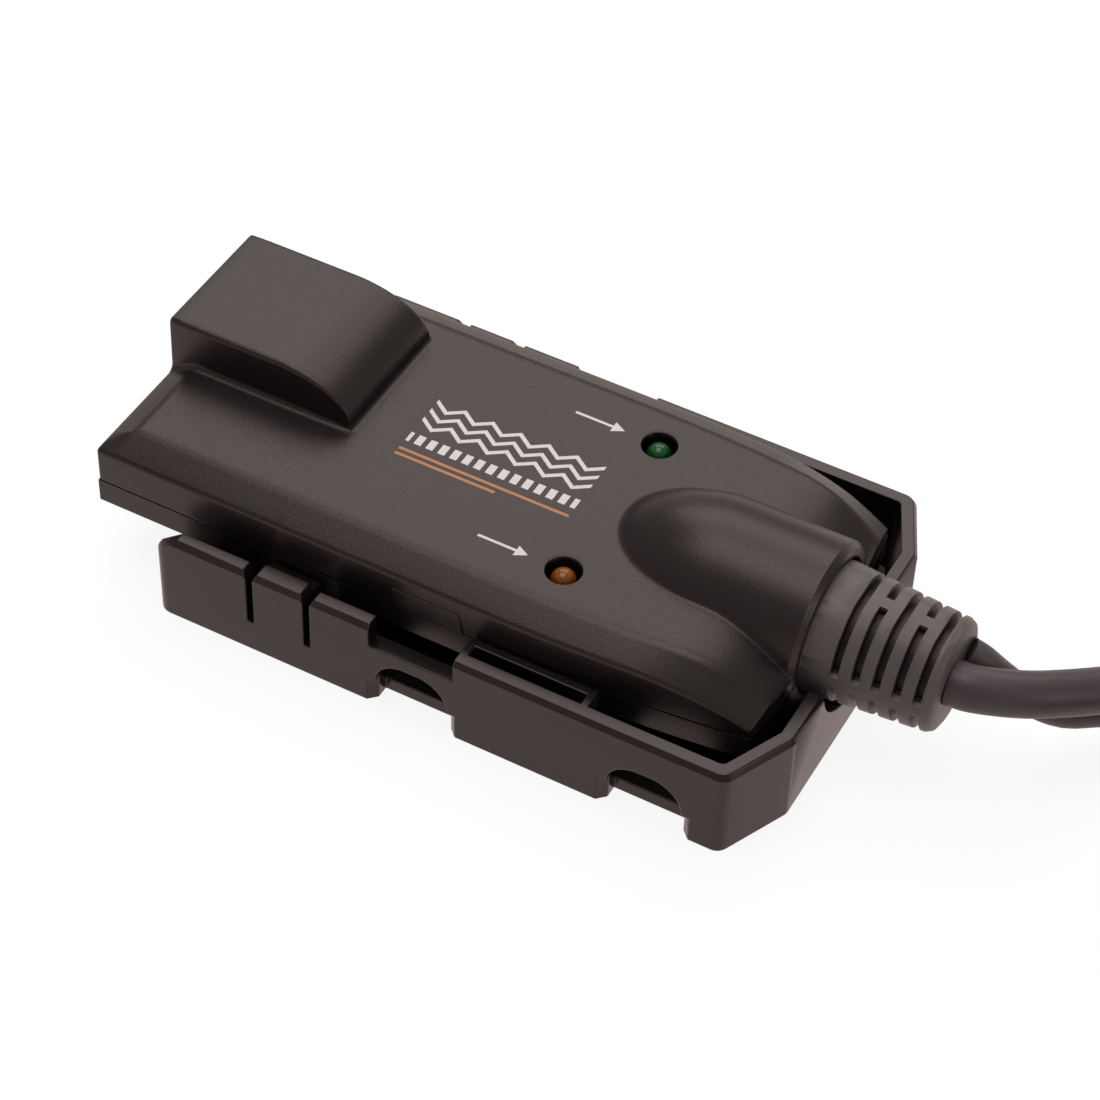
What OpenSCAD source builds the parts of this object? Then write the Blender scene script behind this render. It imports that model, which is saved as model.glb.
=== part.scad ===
// Adapter case with a network socket, a clip-in holder, and two leads that end in a VGA and a USB plug.
// Lengths are in millimetres. X runs from the socket end to the leads, Y across, Z up from the rest face.

/* [Adapter case] */
// Length of the case from the socket end to the end of its nose
case_len = 91.3; // [90.5:0.1:94]
// Width of the case
case_w = 43.7; // [42:0.1:47.2]
// Height of the bottom cover
base_h = 4.5; // [3.8:0.1:5.2]
// Height from the seam to the edge where the side bevel starts
shoulder_h = 5; // [4.4:0.1:6]
// Height of the bevel round the top
bevel_h = 2.1; // [1.2:0.1:3]
// Width of the bevel round the top
bevel_w = 3.8; // [2.5:0.1:5]
// Wall thickness of both covers
wall = 1.6; // [1.2:0.1:2]
// Height of the open line between the two covers
seam_gap = 0.25; // [0.1:0.05:0.5]
// Depth to which the rim of the bottom cover steps up inside the top cover
lip_h = 1.2; // [0.8:0.1:2]
// Chamfer along the bottom edges of the case
foot_chamfer = 0.8; // [0.3:0.1:1.5]

/* [Nose of the case] */
// Length of the dip of the top before the end of the nose
dip_len = 12.7; // [9:0.1:14]
// Radius of the dip of the top
dip_r = 16.7; // [15:0.1:30]
// Length of the dip of the shoulder before the end of the nose
shoulder_dip_len = 18.4; // [15:0.1:22]
// Radius of the dip of the shoulder
shoulder_dip_r = 43.8; // [42:0.2:70]
// Length over which the sides draw in before the end of the nose
taper_len = 34.8; // [28:0.2:38]
// Radius of the sides where they draw in
taper_r = 245; // [225:1:400]
// How much the outer corners of the nose lie behind its middle
nose_sweep = 1; // [0.4:0.1:2]
// Half width of the flat middle of the nose
nose_flat = 11; // [10.9:0.1:12]

/* [Socket bump] */
// Width of the bump over the network socket
bump_w = 19.8; // [18.8:0.1:21]
// Distance of the bump from the far side of the case
bump_side = 6.79; // [6.5:0.01:8]
// Height of the bump above the top
bump_h = 6.5; // [6:0.1:8]
// Length of the flat top of the bump
bump_flat = 16; // [14:0.2:18]
// Length of the curved fall of the bump
bump_fall = 10.8; // [9:0.1:12]
// Height at which the curved fall ends above the top
bump_foot = 0.5; // [0.2:0.1:1]

/* [Cable hump and boot] */
// Radius of the round hump over the leads
hump_r = 10.8; // [10.4:0.1:11]
// Height of the hump's axis above the seam
hump_axis_h = 1.8; // [1.2:0.1:2.4]
// Length of the hump up to the end of the nose
hump_len = 29.9; // [26:0.1:33]
// Length of the rounded front of the hump
hump_nose = 15.5; // [12:0.2:18]
// Length of the short hump below the case
under_hump_len = 4.6; // [3.5:0.1:5.2]
// Bevel round the open end of the hump
hump_bevel = 0.7; // [0.3:0.1:1]
// Wall thickness of the hump
hump_wall = 1; // [0.8:0.1:1.2]
// Length of the boot outside the case
boot_len = 16.6; // [14:0.2:20]
// Radius of the boot where it leaves the case
boot_r = 8.5; // [8.2:0.1:8.6]
// Radius of the boot at its free end
boot_end_r = 7.3; // [7:0.1:7.8]
// Height of the boot's flats as a share of its radius
boot_flat_share = 0.955; // [0.9:0.005:1]
// Number of flex slots along the boot
boot_slots = 5; // [3:1:5]
// Width of a flex slot
slot_w = 1.1; // [0.8:0.1:1.3]
// Distance from one flex slot to the next
slot_pitch = 2.6; // [2.4:0.1:2.8]
// Distance from the case to the middle of the first slot
slot_start = 4.2; // [3.8:0.1:4.6]
// Depth of the flex slots
slot_depth = 1.5; // [0.8:0.1:1.6]
// Width of the bridges that join the ribs
bridge_w = 1.7; // [1.2:0.1:2.2]
// Clearance between the boot and the opening of the case
boot_gap = 0.45; // [0.2:0.05:0.5]
// Thickness of the boot's flange inside the case
flange_t = 1.5; // [1:0.1:2]

/* [Holder] */
// How far the socket end of the case sticks out of the holder
overhang = 11.4; // [8:0.2:13]
// Space between the nose of the case and the holder's end wall at its foot
nose_gap = 1.2; // [1:0.1:3]
// Space between the side of the case and the holder's wall at the rim
side_space = 3.05; // [2.95:0.05:3.6]
// Height of the holder's walls
holder_h = 13.5; // [12.8:0.1:14.5]
// Thickness of the holder's floor
plate_h = 2; // [1.6:0.1:2.4]
// Height of the space for a strap between the floor and the case
tunnel_h = 6.5; // [6.2:0.1:7.5]
// Wall thickness at the rim
rim_t = 2.1; // [1.8:0.1:2.4]
// Wall thickness at the floor
root_t = 2.8; // [2.4:0.1:3]
// Corner cut of the holder along X
cut_x = 4.4; // [3:0.1:6]
// Corner cut of the holder along Y
cut_y = 9.5; // [7:0.1:11]
// Radius of the holder's upright corners
corner_r = 1.8; // [0.8:0.1:2.4]
// Width of the bevel along the outer edge of the rim
rim_bevel_w = 0.45; // [0.2:0.05:0.8]
// Height of the bevel along the outer edge of the rim
rim_bevel_h = 0.8; // [0.4:0.05:1.2]
// Length of the slanted corner at the open end of the side walls
end_slant_x = 3.5; // [2:0.1:5]
// Height of the slanted corner at the open end of the side walls
end_slant_z = 2.9; // [1.5:0.1:4]
// Clearance between the holder and the case
seat_gap = 0.3; // [0.2:0.05:0.5]
// Clearance of the round cut in the end wall round the boot
end_cut_gap = 1.1; // [0.8:0.1:1.4]

/* [Holder openings] */
// Width of the strap arches
arch_w = 10.2; // [8:0.2:11]
// Height of the strap arches
arch_h = 8; // [7:0.1:8.4]
// Radius of the arches' upper corners
arch_r = 4.2; // [2:0.1:4.6]
// Places of the snap finger and of the two arches along the holder, as shares of its length
finger_share = 0.217; // [0.19:0.001:0.22]
first_arch_share = 0.442; // [0.435:0.001:0.45]
second_arch_share = 0.8236; // [0.82:0.0002:0.83]
// Width of the snap finger
finger_w = 7.3; // [6:0.1:8]
// Width of the slots beside the finger
finger_slot_w = 0.9; // [0.6:0.1:1.2]
// Width of the slots at the rim
finger_mouth_w = 1.9; // [1.4:0.1:2.4]
// Height at which the slots end
finger_slot_z = 5; // [4:0.1:7]
// How much thicker the finger's head is than the wall
finger_head = 0.6; // [0.3:0.1:1]
// Length of the lowered stretch of wall
notch_len = 11.7; // [10:0.1:12]
// Height of the lowered stretch of wall
notch_z = 10; // [9:0.1:11.5]
// Length of the strap bar
bar_len = 17.4; // [14:0.2:19]
// Width of the strap bar
bar_w = 1.2; // [0.9:0.1:1.4]
// Height of the strap bar
bar_h = 2.5; // [1.5:0.1:4]
// Thickness of the strap bar's two arms
bar_arm = 1.1; // [0.8:0.1:2]
// Thickness of the support ribs under the case
rib_t = 1.5; // [1:0.1:2.5]
// Distance between the support ribs across the holder
rib_gap = 30; // [28:0.5:32]

/* [Lamps] */
// Distance from the lamps to the end of the nose
lamp_back = 29.9; // [27:0.1:33]
// Distance of each lamp from the side of the case
lamp_side = 9.35; // [8:0.05:10.5]
// Diameter of the lamps
lamp_d = 3; // [2.8:0.1:3.2]
// Diameter of the holes over the lamps
lamp_hole_d = 4.5; // [4.2:0.1:5]
// Depth of the top of a lamp below the top of the case
lamp_drop = 0.3; // [0:0.1:1]

/* [Board] */
// Thickness of the circuit board
board_t = 1.6; // [1.2:0.2:1.6]
// Space between the circuit board and the end of the nose, where the leads are clamped
lead_room = 17.7; // [17:0.1:19]
// Space between the circuit board and the side walls of the bottom cover
board_margin = 1.15; // [0.9:0.05:2]
// Height of the board's underside above the case's underside
board_z = 2.5; // [2.2:0.1:3]
// Clearance round the board, the screws and the socket
fit_gap = 0.1; // [0.05:0.05:0.2]
// Width of the network socket housing
jack_w = 16; // [15.4:0.1:16.4]
// Length of the network socket housing
jack_len = 21; // [18:0.5:22]
// Height of the network socket housing
jack_h = 12.2; // [11.6:0.1:12.4]
// Width of the opening for a network plug
jack_hole_w = 11.9; // [11.7:0.1:12.1]
// Height of the opening for a network plug
jack_hole_h = 6.8; // [6.6:0.1:7.2]
// Depth of the opening for a network plug
jack_hole_len = 13; // [12:0.5:15]
// Radius of the screw posts
post_r = 2.7; // [2.4:0.1:2.8]
// Shank radius of the cover screws
screw_r = 1.1; // [0.9:0.05:1.2]
// Head radius of the cover screws
screw_head_r = 1.9; // [1.7:0.1:2]
// Head height of the cover screws
screw_head_h = 1.2; // [1:0.1:1.4]
// Length of the cover screws
screw_len = 9; // [7:0.5:10]

/* [Leads] */
// Diameter of the VGA lead
vga_d = 5.8; // [5.4:0.1:6]
// Diameter of the USB lead
usb_d = 4.2; // [3.8:0.1:4.4]
// Radius of the wound turn of the VGA lead
vga_turn_r = 31.5; // [30:0.5:33]
// Clearance between leads that lie against each other
lead_gap = 0.5; // [0.45:0.05:0.8]
// Thickness of the tie round the wound leads
tie_t = 0.5; // [0.4:0.05:0.8]
// Width of the tie
tie_w = 9; // [6:0.5:12]

/* [VGA plug] */
// Width of the front of the hood
hood_w = 31; // [30.6:0.1:32]
// Thickness of the hood
hood_h = 14.5; // [13.4:0.1:15.5]
// Length of the front block of the hood
hood_front = 14; // [12:0.5:16]
// Length of the rear body of the hood
hood_rear = 15; // [13:0.5:18]
// Width of the rear body of the hood
hood_rear_w = 18; // [17:0.2:18.4]
// Length of the plug's strain relief
relief_len = 11; // [9:0.5:14]
// Distance between the two thumbscrews
screw_pitch = 24.99; // [24.9:0.01:25.1]
// Radius of the thread on the thumbscrews
thumb_r = 1.42; // [1.4:0.01:1.45]
// Radius of the plain shank of the thumbscrews
shank_r = 1.2; // [1.1:0.01:1.22]
// Radius of the thumbscrew knobs
thumb_knob_r = 3.1; // [2.9:0.1:3.2]
// Length of the thumbscrew knobs
thumb_knob_len = 11; // [9:0.5:12]
// Length of the thumbscrews in front of the flange
thumb_reach = 4.6; // [4:0.1:5]
// Running clearance of the thumbscrews
thumb_gap = 0.05; // [0.03:0.01:0.08]
// Thickness of the steel flange
flange_plate_t = 0.8; // [0.6:0.1:1]
// Width of the D-shaped shell
shell_w = 16.9; // [16.6:0.1:17]
// Height of the D-shaped shell
shell_h = 8.3; // [8.1:0.1:8.4]
// Length of the D-shaped shell
shell_len = 5.8; // [5.5:0.1:6]
// Wall of both plug shells
shell_t = 0.4; // [0.3:0.05:0.5]
// Lean of the D-shaped shell's sides in degrees
shell_lean = 10; // [8:1:12]
// Radius of the pins
pin_r = 0.39; // [0.35:0.01:0.42]
// Distance from pin to pin in a row
pin_pitch = 2.29; // [2.25:0.01:2.32]
// Distance from row to row of the pins
pin_row = 1.98; // [1.94:0.01:2]

/* [USB plug] */
// Width of the hood of the USB plug
usb_hood_w = 16; // [15:0.2:17]
// Thickness of the hood of the USB plug
usb_hood_h = 8; // [7.4:0.1:9]
// Length of the hood of the USB plug
usb_hood_len = 26; // [22:0.5:30]
// Length of the USB plug's strain relief
usb_relief_len = 6; // [5:0.5:8]
// Width of the USB shell
usb_shell_w = 12; // [11.9:0.05:12.1]
// Height of the USB shell
usb_shell_h = 4.5; // [4.4:0.05:4.6]
// Length of the USB shell
usb_shell_len = 12; // [11.7:0.1:12.2]
// Thickness of the tongue in the USB shell
tongue_t = 1.85; // [1.8:0.05:1.9]

/* [Hidden] */
$fn = 48;
// Small overrun of every cut, so that no two faces lie in one plane
over = 1;
hair = 0.05;

// Colours as the photograph shows them
dark_shell = [0.31, 0.29, 0.29];
holder_colour = [0.24, 0.21, 0.21];
boot_colour = [0.48, 0.45, 0.45];
lead_colour = [0.43, 0.41, 0.42];
board_colour = [0.05, 0.30, 0.14];
steel_colour = [0.72, 0.73, 0.75];
gold_colour = [0.85, 0.68, 0.30];
black_plastic = [0.10, 0.10, 0.11];

// Heights of the stack
case_z = plate_h + tunnel_h;
seam_z = case_z + base_h;
shoulder_z = seam_z + shoulder_h;
top_z = shoulder_z + bevel_h;
bump_z = top_z + bump_h;
axis_z = seam_z + hump_axis_h;
object_len = case_len + boot_len;
half_w = case_w / 2;
tray_end = case_len + nose_gap + root_t;
holder_len = tray_end - overhang;
holder_w = case_w + (side_space + rim_t) * 2;
dip_start = case_len - dip_len;
shoulder_dip_start = case_len - shoulder_dip_len;
taper_start = case_len - taper_len;
hump_start = case_len - hump_len;
lamp_x = case_len - lamp_back;
lamp_y = half_w - lamp_side;
first_arch = overhang + holder_len * first_arch_share;
second_arch = overhang + holder_len * second_arch_share;
finger_mid = overhang + holder_len * finger_share;

// Rim of the bottom cover, and the board on it
lip_t = 0.8;
tub_wall = wall + fit_gap + lip_t;
board_x = tub_wall + fit_gap;
board_len = case_len - lead_room - board_x;
board_w = case_w - (tub_wall + board_margin) * 2;
bump_y = half_w - bump_side - bump_w / 2;
board_under = case_z + board_z;
board_top = board_under + board_t;
front_screw_x = 8.1;
rear_screw_back = 16.4;
front_screw_inset = 4.8;
rear_screw_inset = 5.8;
screw_places = [[front_screw_x, half_w - front_screw_inset], [case_len - rear_screw_back,
  half_w - rear_screw_inset]];
head_room = 1.4;
rest_r = 1.6;
rest_inset = 5;
rest_shares = [0.3, 0.95];
rest_places = [for (s = rest_shares) [board_x + board_len * s, board_w / 2 - rest_inset]];
cross_len = 2.2;
cross_w = 0.5;
cross_depth = 0.6;

// Details of the outside
bump_steps = 12;
bump_edge = 0.7;
hump_steps = 10;
lug_back = 5.5;
lug_x = first_arch - lug_back;
lug_len = 10;
lug_h = 3.3;
lug_slant = 1.3;
lug_t = 0.3;
boot_edge = 1;
flange_step = 0.65;
quarter_turn = 90;
corner_steps = 5;
arch_break = 0.8;
finger_mouth_h = 1.2;
grip_top = 1.8;
grip_h = 2;
rib_start = 4.6;
rib_end_len = 4;
rib_margin = 1.4;
rib_wide_margin = 2.4;
rib_places = [[overhang + rib_start, first_arch - arch_w / 2 - rib_margin],
  [first_arch + arch_w / 2 + rib_wide_margin, second_arch - arch_w / 2 - rib_wide_margin],
  [second_arch + arch_w / 2 + rib_margin, second_arch + arch_w / 2 + rib_margin + rib_end_len]];

// Small pieces on the board
chip_place_shares = [[0.5, 0.03], [0.73, -0.1]];
chip_sizes = [13, 9];
chip_t = 1.4;
chip_leg = 0.3;
chip_legs = 12;
chip_leg_pitch = 0.6;
cap_place_shares = [[0.66, 0.3], [0.78, 0.2], [0.34, -0.33]];
cap_r = 2.4;
cap_h = 5.2;
cap_base = 0.5;
crystal_place_share = [0.6, -0.34];
crystal_len = 10;
crystal_w = 3.6;
crystal_h = 3.4;
jack_recess = 0.4;
jack_tall_len = 17;
jack_low_h = 8;
jack_sill = 3;
jack_top = board_top + jack_h;
latch_w = 3.1;
latch_h = 1.4;
contact_pitch = 1.02;
contact_w = 0.4;
contact_set = 1.2;
contact_drop = 3.6;
lamp_body_h = 3.4;
lamp_rim = 0.4;
lamp_rim_h = 1;
lamp_leg = 0.5;
lamp_steps = 8;
plug_len = 7;
plug_h = 5.6;
plug_key = 1;
plug_wall = 0.8;
plug_slot = 0.5;
plug_gap = 0.2;
vga_plug_y = -8;
plug_split_y = 1.6;
usb_plug_y = 8;

// Clamp over the leads inside the case
clamp_back = 10.3;
clamp_x = case_len - clamp_back;
clamp_len = 4;
clamp_drop = 0.3;
clamp_z = axis_z - clamp_drop;
clamp_t = 2;
clamp_gap = 0.3;
clamp_wall = 0.8;
clamp_post_r = 2.1;
clamp_screw_r = 0.9;
clamp_screw_len = 5.5;

// Where the leads leave the boot
vga_y = -1.5;
usb_y = 3.7;
vga_rise = 0.7;
usb_rise = 0.8;
vga_z = axis_z + vga_rise;
usb_z = axis_z + usb_rise;
clamp_reach = 1.2;
clamp_places = [vga_y - vga_d / 2 - clamp_post_r - clamp_reach, usb_y + usb_d / 2 + clamp_post_r +
  clamp_reach / 2];

// Wound turns of the leads, behind the boot
turn_x = 170;
turn_y = 0;
tie_gap = 0.1;
usb_turn_r = vga_turn_r - (vga_d + usb_d) / 2 - lead_gap;
vga_low_z = vga_d / 2 + tie_gap + tie_t;
usb_low_z = usb_d / 2 + tie_gap + tie_t;
turn_extra = 1.5;

// Chosen points of the free leads, between the boot and the turns and between the turns and the plugs
vga_points = [[110.7, -1.1, 15.4], [116, 2, 14.4], [121, 7.2, 12.5], [127.5, 14.8, 9.9], [134, 20.2, 7.9],
  [141, 24.6, 5.4], [150, 28.6, 3.8], [158, 31, 3.5]];
usb_points = [[109.4, 4, 14.8], [112, 5, 12.2], [115.5, 6.2, 9.4], [119.5, 8.3, 7.2], [123.5, 12.4, 5.6],
  [128.5, 16.4, 3.8],
  [135, 17.6, 2.9], [142, 18.9, 2.7], [150, 22.1, 2.7], [157.5, 25.2, 2.7]];
vga_tail_points = [[184, 30.9, 9.8], [192, 27.9, 9.2], [199, 25, 7.9]];
usb_tail_points = [[182, 25.5, 9.2], [190, 22, 9.4], [198, 15.4, 9.2], [206, 7, 7.4], [213.5, 0.6, 5]];
vga_tail_dx = 35;
usb_tail_dx = 50;
vga_plug_mid = 24;
usb_plug_mid = -2;

// Details of the plugs
relief_wall = 1.6;
hood_edge = 1.2;
grip_count = 5;
grip_pitch = 2;
grip_depth = 0.5;
flange_half_h = 6.2;
shell_round = 2.4;
insulator_out = 0.8;
pin_back = 0.7;
pin_shift_share = 0.25;
thumb_end_gap = 0.3;
thread_gap = 0.2;
knurl_r = 0.5;
usb_window = 2.2;
usb_contact_shares = [-0.29, -0.083, 0.083, 0.29];

// The part's frame has its origin below the middle of the object
module set_down() { translate([-object_len / 2, 0, 0]) children(); }

// Outlines and lofts
function unit(v) = v / norm(v);
function left_of(a, b) = let (d = unit(b - a)) [-d.y, d.x];
function cyc(p, i) = p[(i + len(p)) % len(p)];

// A counterclockwise outline moved inwards by d
function inset(p, d) = [for (i = [0:len(p) - 1])
  let (n1 = left_of(cyc(p, i - 1), p[i]), n2 = left_of(p[i], cyc(p, i + 1)))
    p[i] + (n1 + n2) * d / (1 + n1 * n2)];

// A convex counterclockwise outline with corners of radius r in n steps
function rounded(p, r, n) = [for (i = [0:len(p) - 1])
  let (n1 = left_of(cyc(p, i - 1), p[i]), n2 = left_of(p[i], cyc(p, i + 1)),
    c = p[i] + (n1 + n2) * r / (1 + n1 * n2),
    a1 = atan2(-n1.y, -n1.x), turn = atan2(n1.x * n2.y - n1.y * n2.x, n1 * n2))
    for (k = [0:n]) c + r * [cos(a1 + turn * k / n), sin(a1 + turn * k / n)]];

function at_height(p, z) = [for (q = p) [q.x, q.y, z]];

// Rings of equal length joined by triangles; each ring runs counterclockwise seen from the last one
module loft(rings) {
  n = len(rings[0]);
  m = len(rings);
  sides = [for (k = [0:m - 2]) for (i = [0:n - 1])
    let (a = k * n + i, b = k * n + (i + 1) % n, c = a + n, d = b + n)
      for (f = [[a, c, d], [a, d, b]]) f];
  first = [for (i = [1:n - 2]) [0, i, i + 1]];
  last = [for (i = [1:n - 2]) [(m - 1) * n, (m - 1) * n + i + 1, (m - 1) * n + i]];
  polyhedron([for (r = rings) for (p = r) p], concat(sides, first, last));
}

// Cross-section of a tube at point p, square to direction t
function tube_ring(p, t, r, n) = let (side = unit(cross(t, [0, 0, 1])), up = cross(side, t))
  [for (i = [0:n - 1]) p + r * (side * cos(360 * i / n) - up * sin(360 * i / n))];

// Rings along a route whose two ends run along X
function tube_rings(path, r, n) = let (m = len(path) - 1) [for (k = [0:m])
  let (t = k == 0 || k == m ? [1, 0, 0] : unit(unit(path[k] - path[k - 1]) + unit(path[k + 1] - path[k])))
    tube_ring(path[k], t, r, n)];

module along_y(y1, y2) { translate([0, y2, 0]) rotate([90, 0, 0]) linear_extrude(y2 - y1) children(); }
module along_x(x1, x2) { translate([x1, 0, 0]) rotate([90, 0, 90]) linear_extrude(x2 - x1) children(); }
module block(low, high) { translate(low) cube(high - low); }
module both_sides() { children(); mirror([0, 1, 0]) children(); }
module rod(x1, x2, y, z, r) { translate([x1, y, z]) rotate([0, 90, 0]) cylinder(x2 - x1, r, r); }
module post(x, y, z1, z2, r) { translate([x, y, z1]) cylinder(z2 - z1, r, r); }

// Plan and profile of the case as functions of the distance from the socket end
function side_y(x) = half_w - pow(max(0, x - taper_start), 2) / (2 * taper_r);
function top_at(x) = top_z - pow(max(0, x - dip_start), 2) / (2 * dip_r);
function shoulder_at(x) = shoulder_z - pow(max(0, x - shoulder_dip_start), 2) / (2 * shoulder_dip_r);
corner_x = case_len - nose_sweep;
plan_steps = 8;
dip_step_shares = [0, 0.22, 0.4, 0.55, 0.68, 0.79, 0.9, 1];
case_stations = concat([0, taper_start, shoulder_dip_start],
  [for (s = dip_step_shares) dip_start + (corner_x - dip_start) * s]);
function case_plan() = concat(
  [[0, -half_w]],
  [for (k = [0:plan_steps]) let (x = taper_start + (corner_x - taper_start) * k / plan_steps) [x,
    -side_y(x)]],
  [[case_len, -nose_flat], [case_len, nose_flat]],
  [for (k = [plan_steps:-1:0]) let (x = taper_start + (corner_x - taper_start) * k / plan_steps) [x,
    side_y(x)]],
  [[0, half_w]]);

// Section of the top cover at x with its outside moved in by d, down to the height low
function cover_ring(x, d, low) = let (y = side_y(x) - d, zt = top_at(x) - d,
  zs = zt - (bevel_w - d) * max(top_at(x) - shoulder_at(x), hair) / bevel_w)
  [[x, y, low], [x, y, zs], [x, y + d - bevel_w, zt], [x, bevel_w - y - d, zt], [x, -y, zs], [x, -y, low]];

module end_bevel(d) {
  slope = bevel_h / bevel_w;
  low = top_z - d - (bevel_w + over) * slope;
  high = top_z - d + over * slope;
  along_y(-case_w, case_w)
    polygon([[-over, low], [bevel_w + over, high], [bevel_w + over, bump_z + over], [-over, bump_z +
      over]]);
}

module nose_cut(d) {
  y_end = side_y(corner_x);
  translate([0, 0, case_z - hump_r])
    linear_extrude(bump_z)
      polygon([[corner_x - d, -case_w], [corner_x - d, -y_end], [case_len - d, -nose_flat],
        [case_len - d, nose_flat], [corner_x - d, y_end], [corner_x - d, case_w],
        [case_len + over, case_w], [case_len + over, -case_w]]);
}

// The top cover's outside for d = 0, and its inside for d = the wall
module cover_skin(d) {
  low = d > 0 ? seam_z - over : seam_z;
  last = d > 0 ? corner_x : case_len + hair;
  difference() {
    loft(concat([for (x = case_stations) cover_ring(max(x, d), d, low)], [cover_ring(last + hair, d,
      low)]));
    end_bevel(d);
    nose_cut(d);
  }
}

module bump(d) {
  rise = bump_h - bump_foot;
  floor_z = top_z + bump_foot - d;
  end_x = bump_flat + bump_fall - d;
  half = bump_w / 2 - d;
  intersection() {
    along_y(bump_y - half, bump_y + half)
      polygon(concat([[end_x, seam_z - over], [d, seam_z - over], [d, floor_z + rise]],
        [for (k = [0:bump_steps]) let (t = 90 * k / bump_steps)
          [bump_flat + (bump_fall - d) * sin(t), floor_z + rise * cos(t)]]));
    along_x(0, end_x + over)
      polygon([[bump_y - half, seam_z - over], [bump_y + half, seam_z - over],
        [bump_y + half, floor_z + rise - bump_edge], [bump_y + half - bump_edge, floor_z + rise],
        [bump_y - half + bump_edge, floor_z + rise], [bump_y - half, floor_z + rise - bump_edge]]);
  }
}

// A body of revolution about the axis of the hump, from radius and distance pairs
module spin(points) { translate([0, 0, axis_z]) rotate([0, 90, 0]) rotate_extrude() polygon(points); }

module hump(d) {
  r = hump_r - d;
  x1 = hump_start + hump_nose;
  x2 = d > 0 ? case_len - wall : case_len;
  cut = d > 0 ? 0 : hump_bevel;
  spin(concat([for (k = [0:hump_steps]) let (t = 90 * k / hump_steps) [r * sin(t),
    x1 - (hump_nose - d) * cos(t)]],
    cut > 0 ? [[r, x2 - cut], [r - cut, x2]] : [[r, x2]], [[0, x2]]));
}

// Room for the boot's flange behind the end wall, shared by both covers
module boot_room() { rod(case_len - under_hump_len + hump_wall, case_len - wall, 0, axis_z,
  hump_r - hump_wall); }
module boot_hole() { rod(case_len - wall - over, case_len + over, 0, axis_z, boot_r + boot_gap); }
module jack_hole(depth) {
  block([-over, bump_y - jack_w / 2 - fit_gap, board_top - fit_gap], [depth, bump_y + jack_w / 2 + fit_gap,
    jack_top + fit_gap]);
}
module at_screws() { for (p = screw_places, s = [-1, 1]) translate([p.x, p.y * s, 0]) children(); }

module top_cover() color(dark_shell) set_down() difference() {
  union() {
    cover_skin(0);
    bump(0);
    hump(0);
    along_y(-half_w - lug_t, -half_w + wall / 2)
      polygon([[lug_x, seam_z], [lug_x + lug_len, seam_z], [lug_x + lug_len - lug_slant, seam_z + lug_h],
        [lug_x, seam_z + lug_h]]);
  }
  difference() {
    union() {
      cover_skin(wall);
      bump(wall);
      hump(hump_wall);
    }
    at_screws() post(0, 0, seam_z, top_z, post_r);
  }
  block([-over, -case_w, case_z - hump_r], [case_len + over, case_w, seam_z]);
  boot_room();
  boot_hole();
  jack_hole(wall + over);
  both_sides() post(lamp_x, lamp_y, shoulder_z - over, top_z + over, lamp_hole_d / 2);
  at_screws() post(0, 0, seam_z - over, case_z + head_room + screw_len + fit_gap, screw_r + hair);
}

module tub_outline(d) { polygon(inset(case_plan(), d)); }

module bottom_cover() color(dark_shell) set_down() difference() {
  union() {
    difference() {
      union() {
        loft([at_height(inset(case_plan(), foot_chamfer), case_z), at_height(case_plan(), case_z +
          foot_chamfer),
          at_height(case_plan(), seam_z - seam_gap)]);
        translate([0, 0, seam_z - over]) linear_extrude(lip_h + over) tub_outline(wall + fit_gap);
        intersection() {
          rod(case_len - under_hump_len, case_len, 0, axis_z, hump_r);
          block([0, -case_w, 0], [object_len, case_w, seam_z - seam_gap]);
        }
      }
      translate([0, 0, case_z + wall]) linear_extrude(case_w) tub_outline(tub_wall);
      boot_room();
      at_screws() post(0, 0, seam_z, seam_z + lip_h + over, post_r + fit_gap);
    }
    at_screws() post(0, 0, case_z + wall / 2, seam_z, post_r);
    for (p = rest_places, s = [-1, 1]) post(p.x, p.y * s, case_z + wall / 2, board_under, rest_r);
    for (y = clamp_places) post(clamp_x, y, case_z + wall / 2, clamp_z, clamp_post_r);
    block([clamp_x - clamp_len / 2, vga_y - vga_d / 2 - clamp_wall, case_z + wall / 2],
      [clamp_x + clamp_len / 2, usb_y + usb_d / 2 + clamp_wall, clamp_z - clamp_gap]);
  }
  boot_hole();
  jack_hole(tub_wall + over);
  lead_rods(board_x + board_len, case_len, hair);
  at_screws() {
    post(0, 0, case_z - over, case_z + head_room, screw_head_r + fit_gap);
    post(0, 0, case_z, seam_z + over, screw_r + hair);
  }
  for (y = clamp_places) post(clamp_x, y, clamp_z + clamp_t - clamp_screw_len - fit_gap, clamp_z + over,
    clamp_screw_r + hair);
}

// The straight stretches of both leads between two distances, with a clearance round them
module vga_rod(x1, x2, gap) { rod(x1, x2, vga_y, vga_z, vga_d / 2 + gap); }
module usb_rod(x1, x2, gap) { rod(x1, x2, usb_y, usb_z, usb_d / 2 + gap); }
module lead_rods(x1, x2, gap) {
  vga_rod(x1, x2, gap);
  usb_rod(x1, x2, gap);
}

module cover_screws() color(steel_colour) set_down() at_screws() difference() {
  union() {
    post(0, 0, case_z + head_room - screw_head_h, case_z + head_room, screw_head_r);
    post(0, 0, case_z + head_room - hair, case_z + head_room + screw_len, screw_r);
  }
  for (a = [0, 90]) rotate([0, 0, a])
    block([-cross_len / 2, -cross_w / 2, case_z], [cross_len / 2, cross_w / 2, case_z +
      head_room - screw_head_h + cross_depth]);
}

module circuit_board() color(board_colour) set_down() difference() {
  block([board_x, -board_w / 2, board_under], [board_x + board_len, board_w / 2, board_top]);
  at_screws() post(0, 0, board_under - over, board_top + over, post_r + fit_gap);
}

module on_board(share) {
  translate([board_x + board_len * share.x, board_w * share.y, board_top]) children();
}

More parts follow.
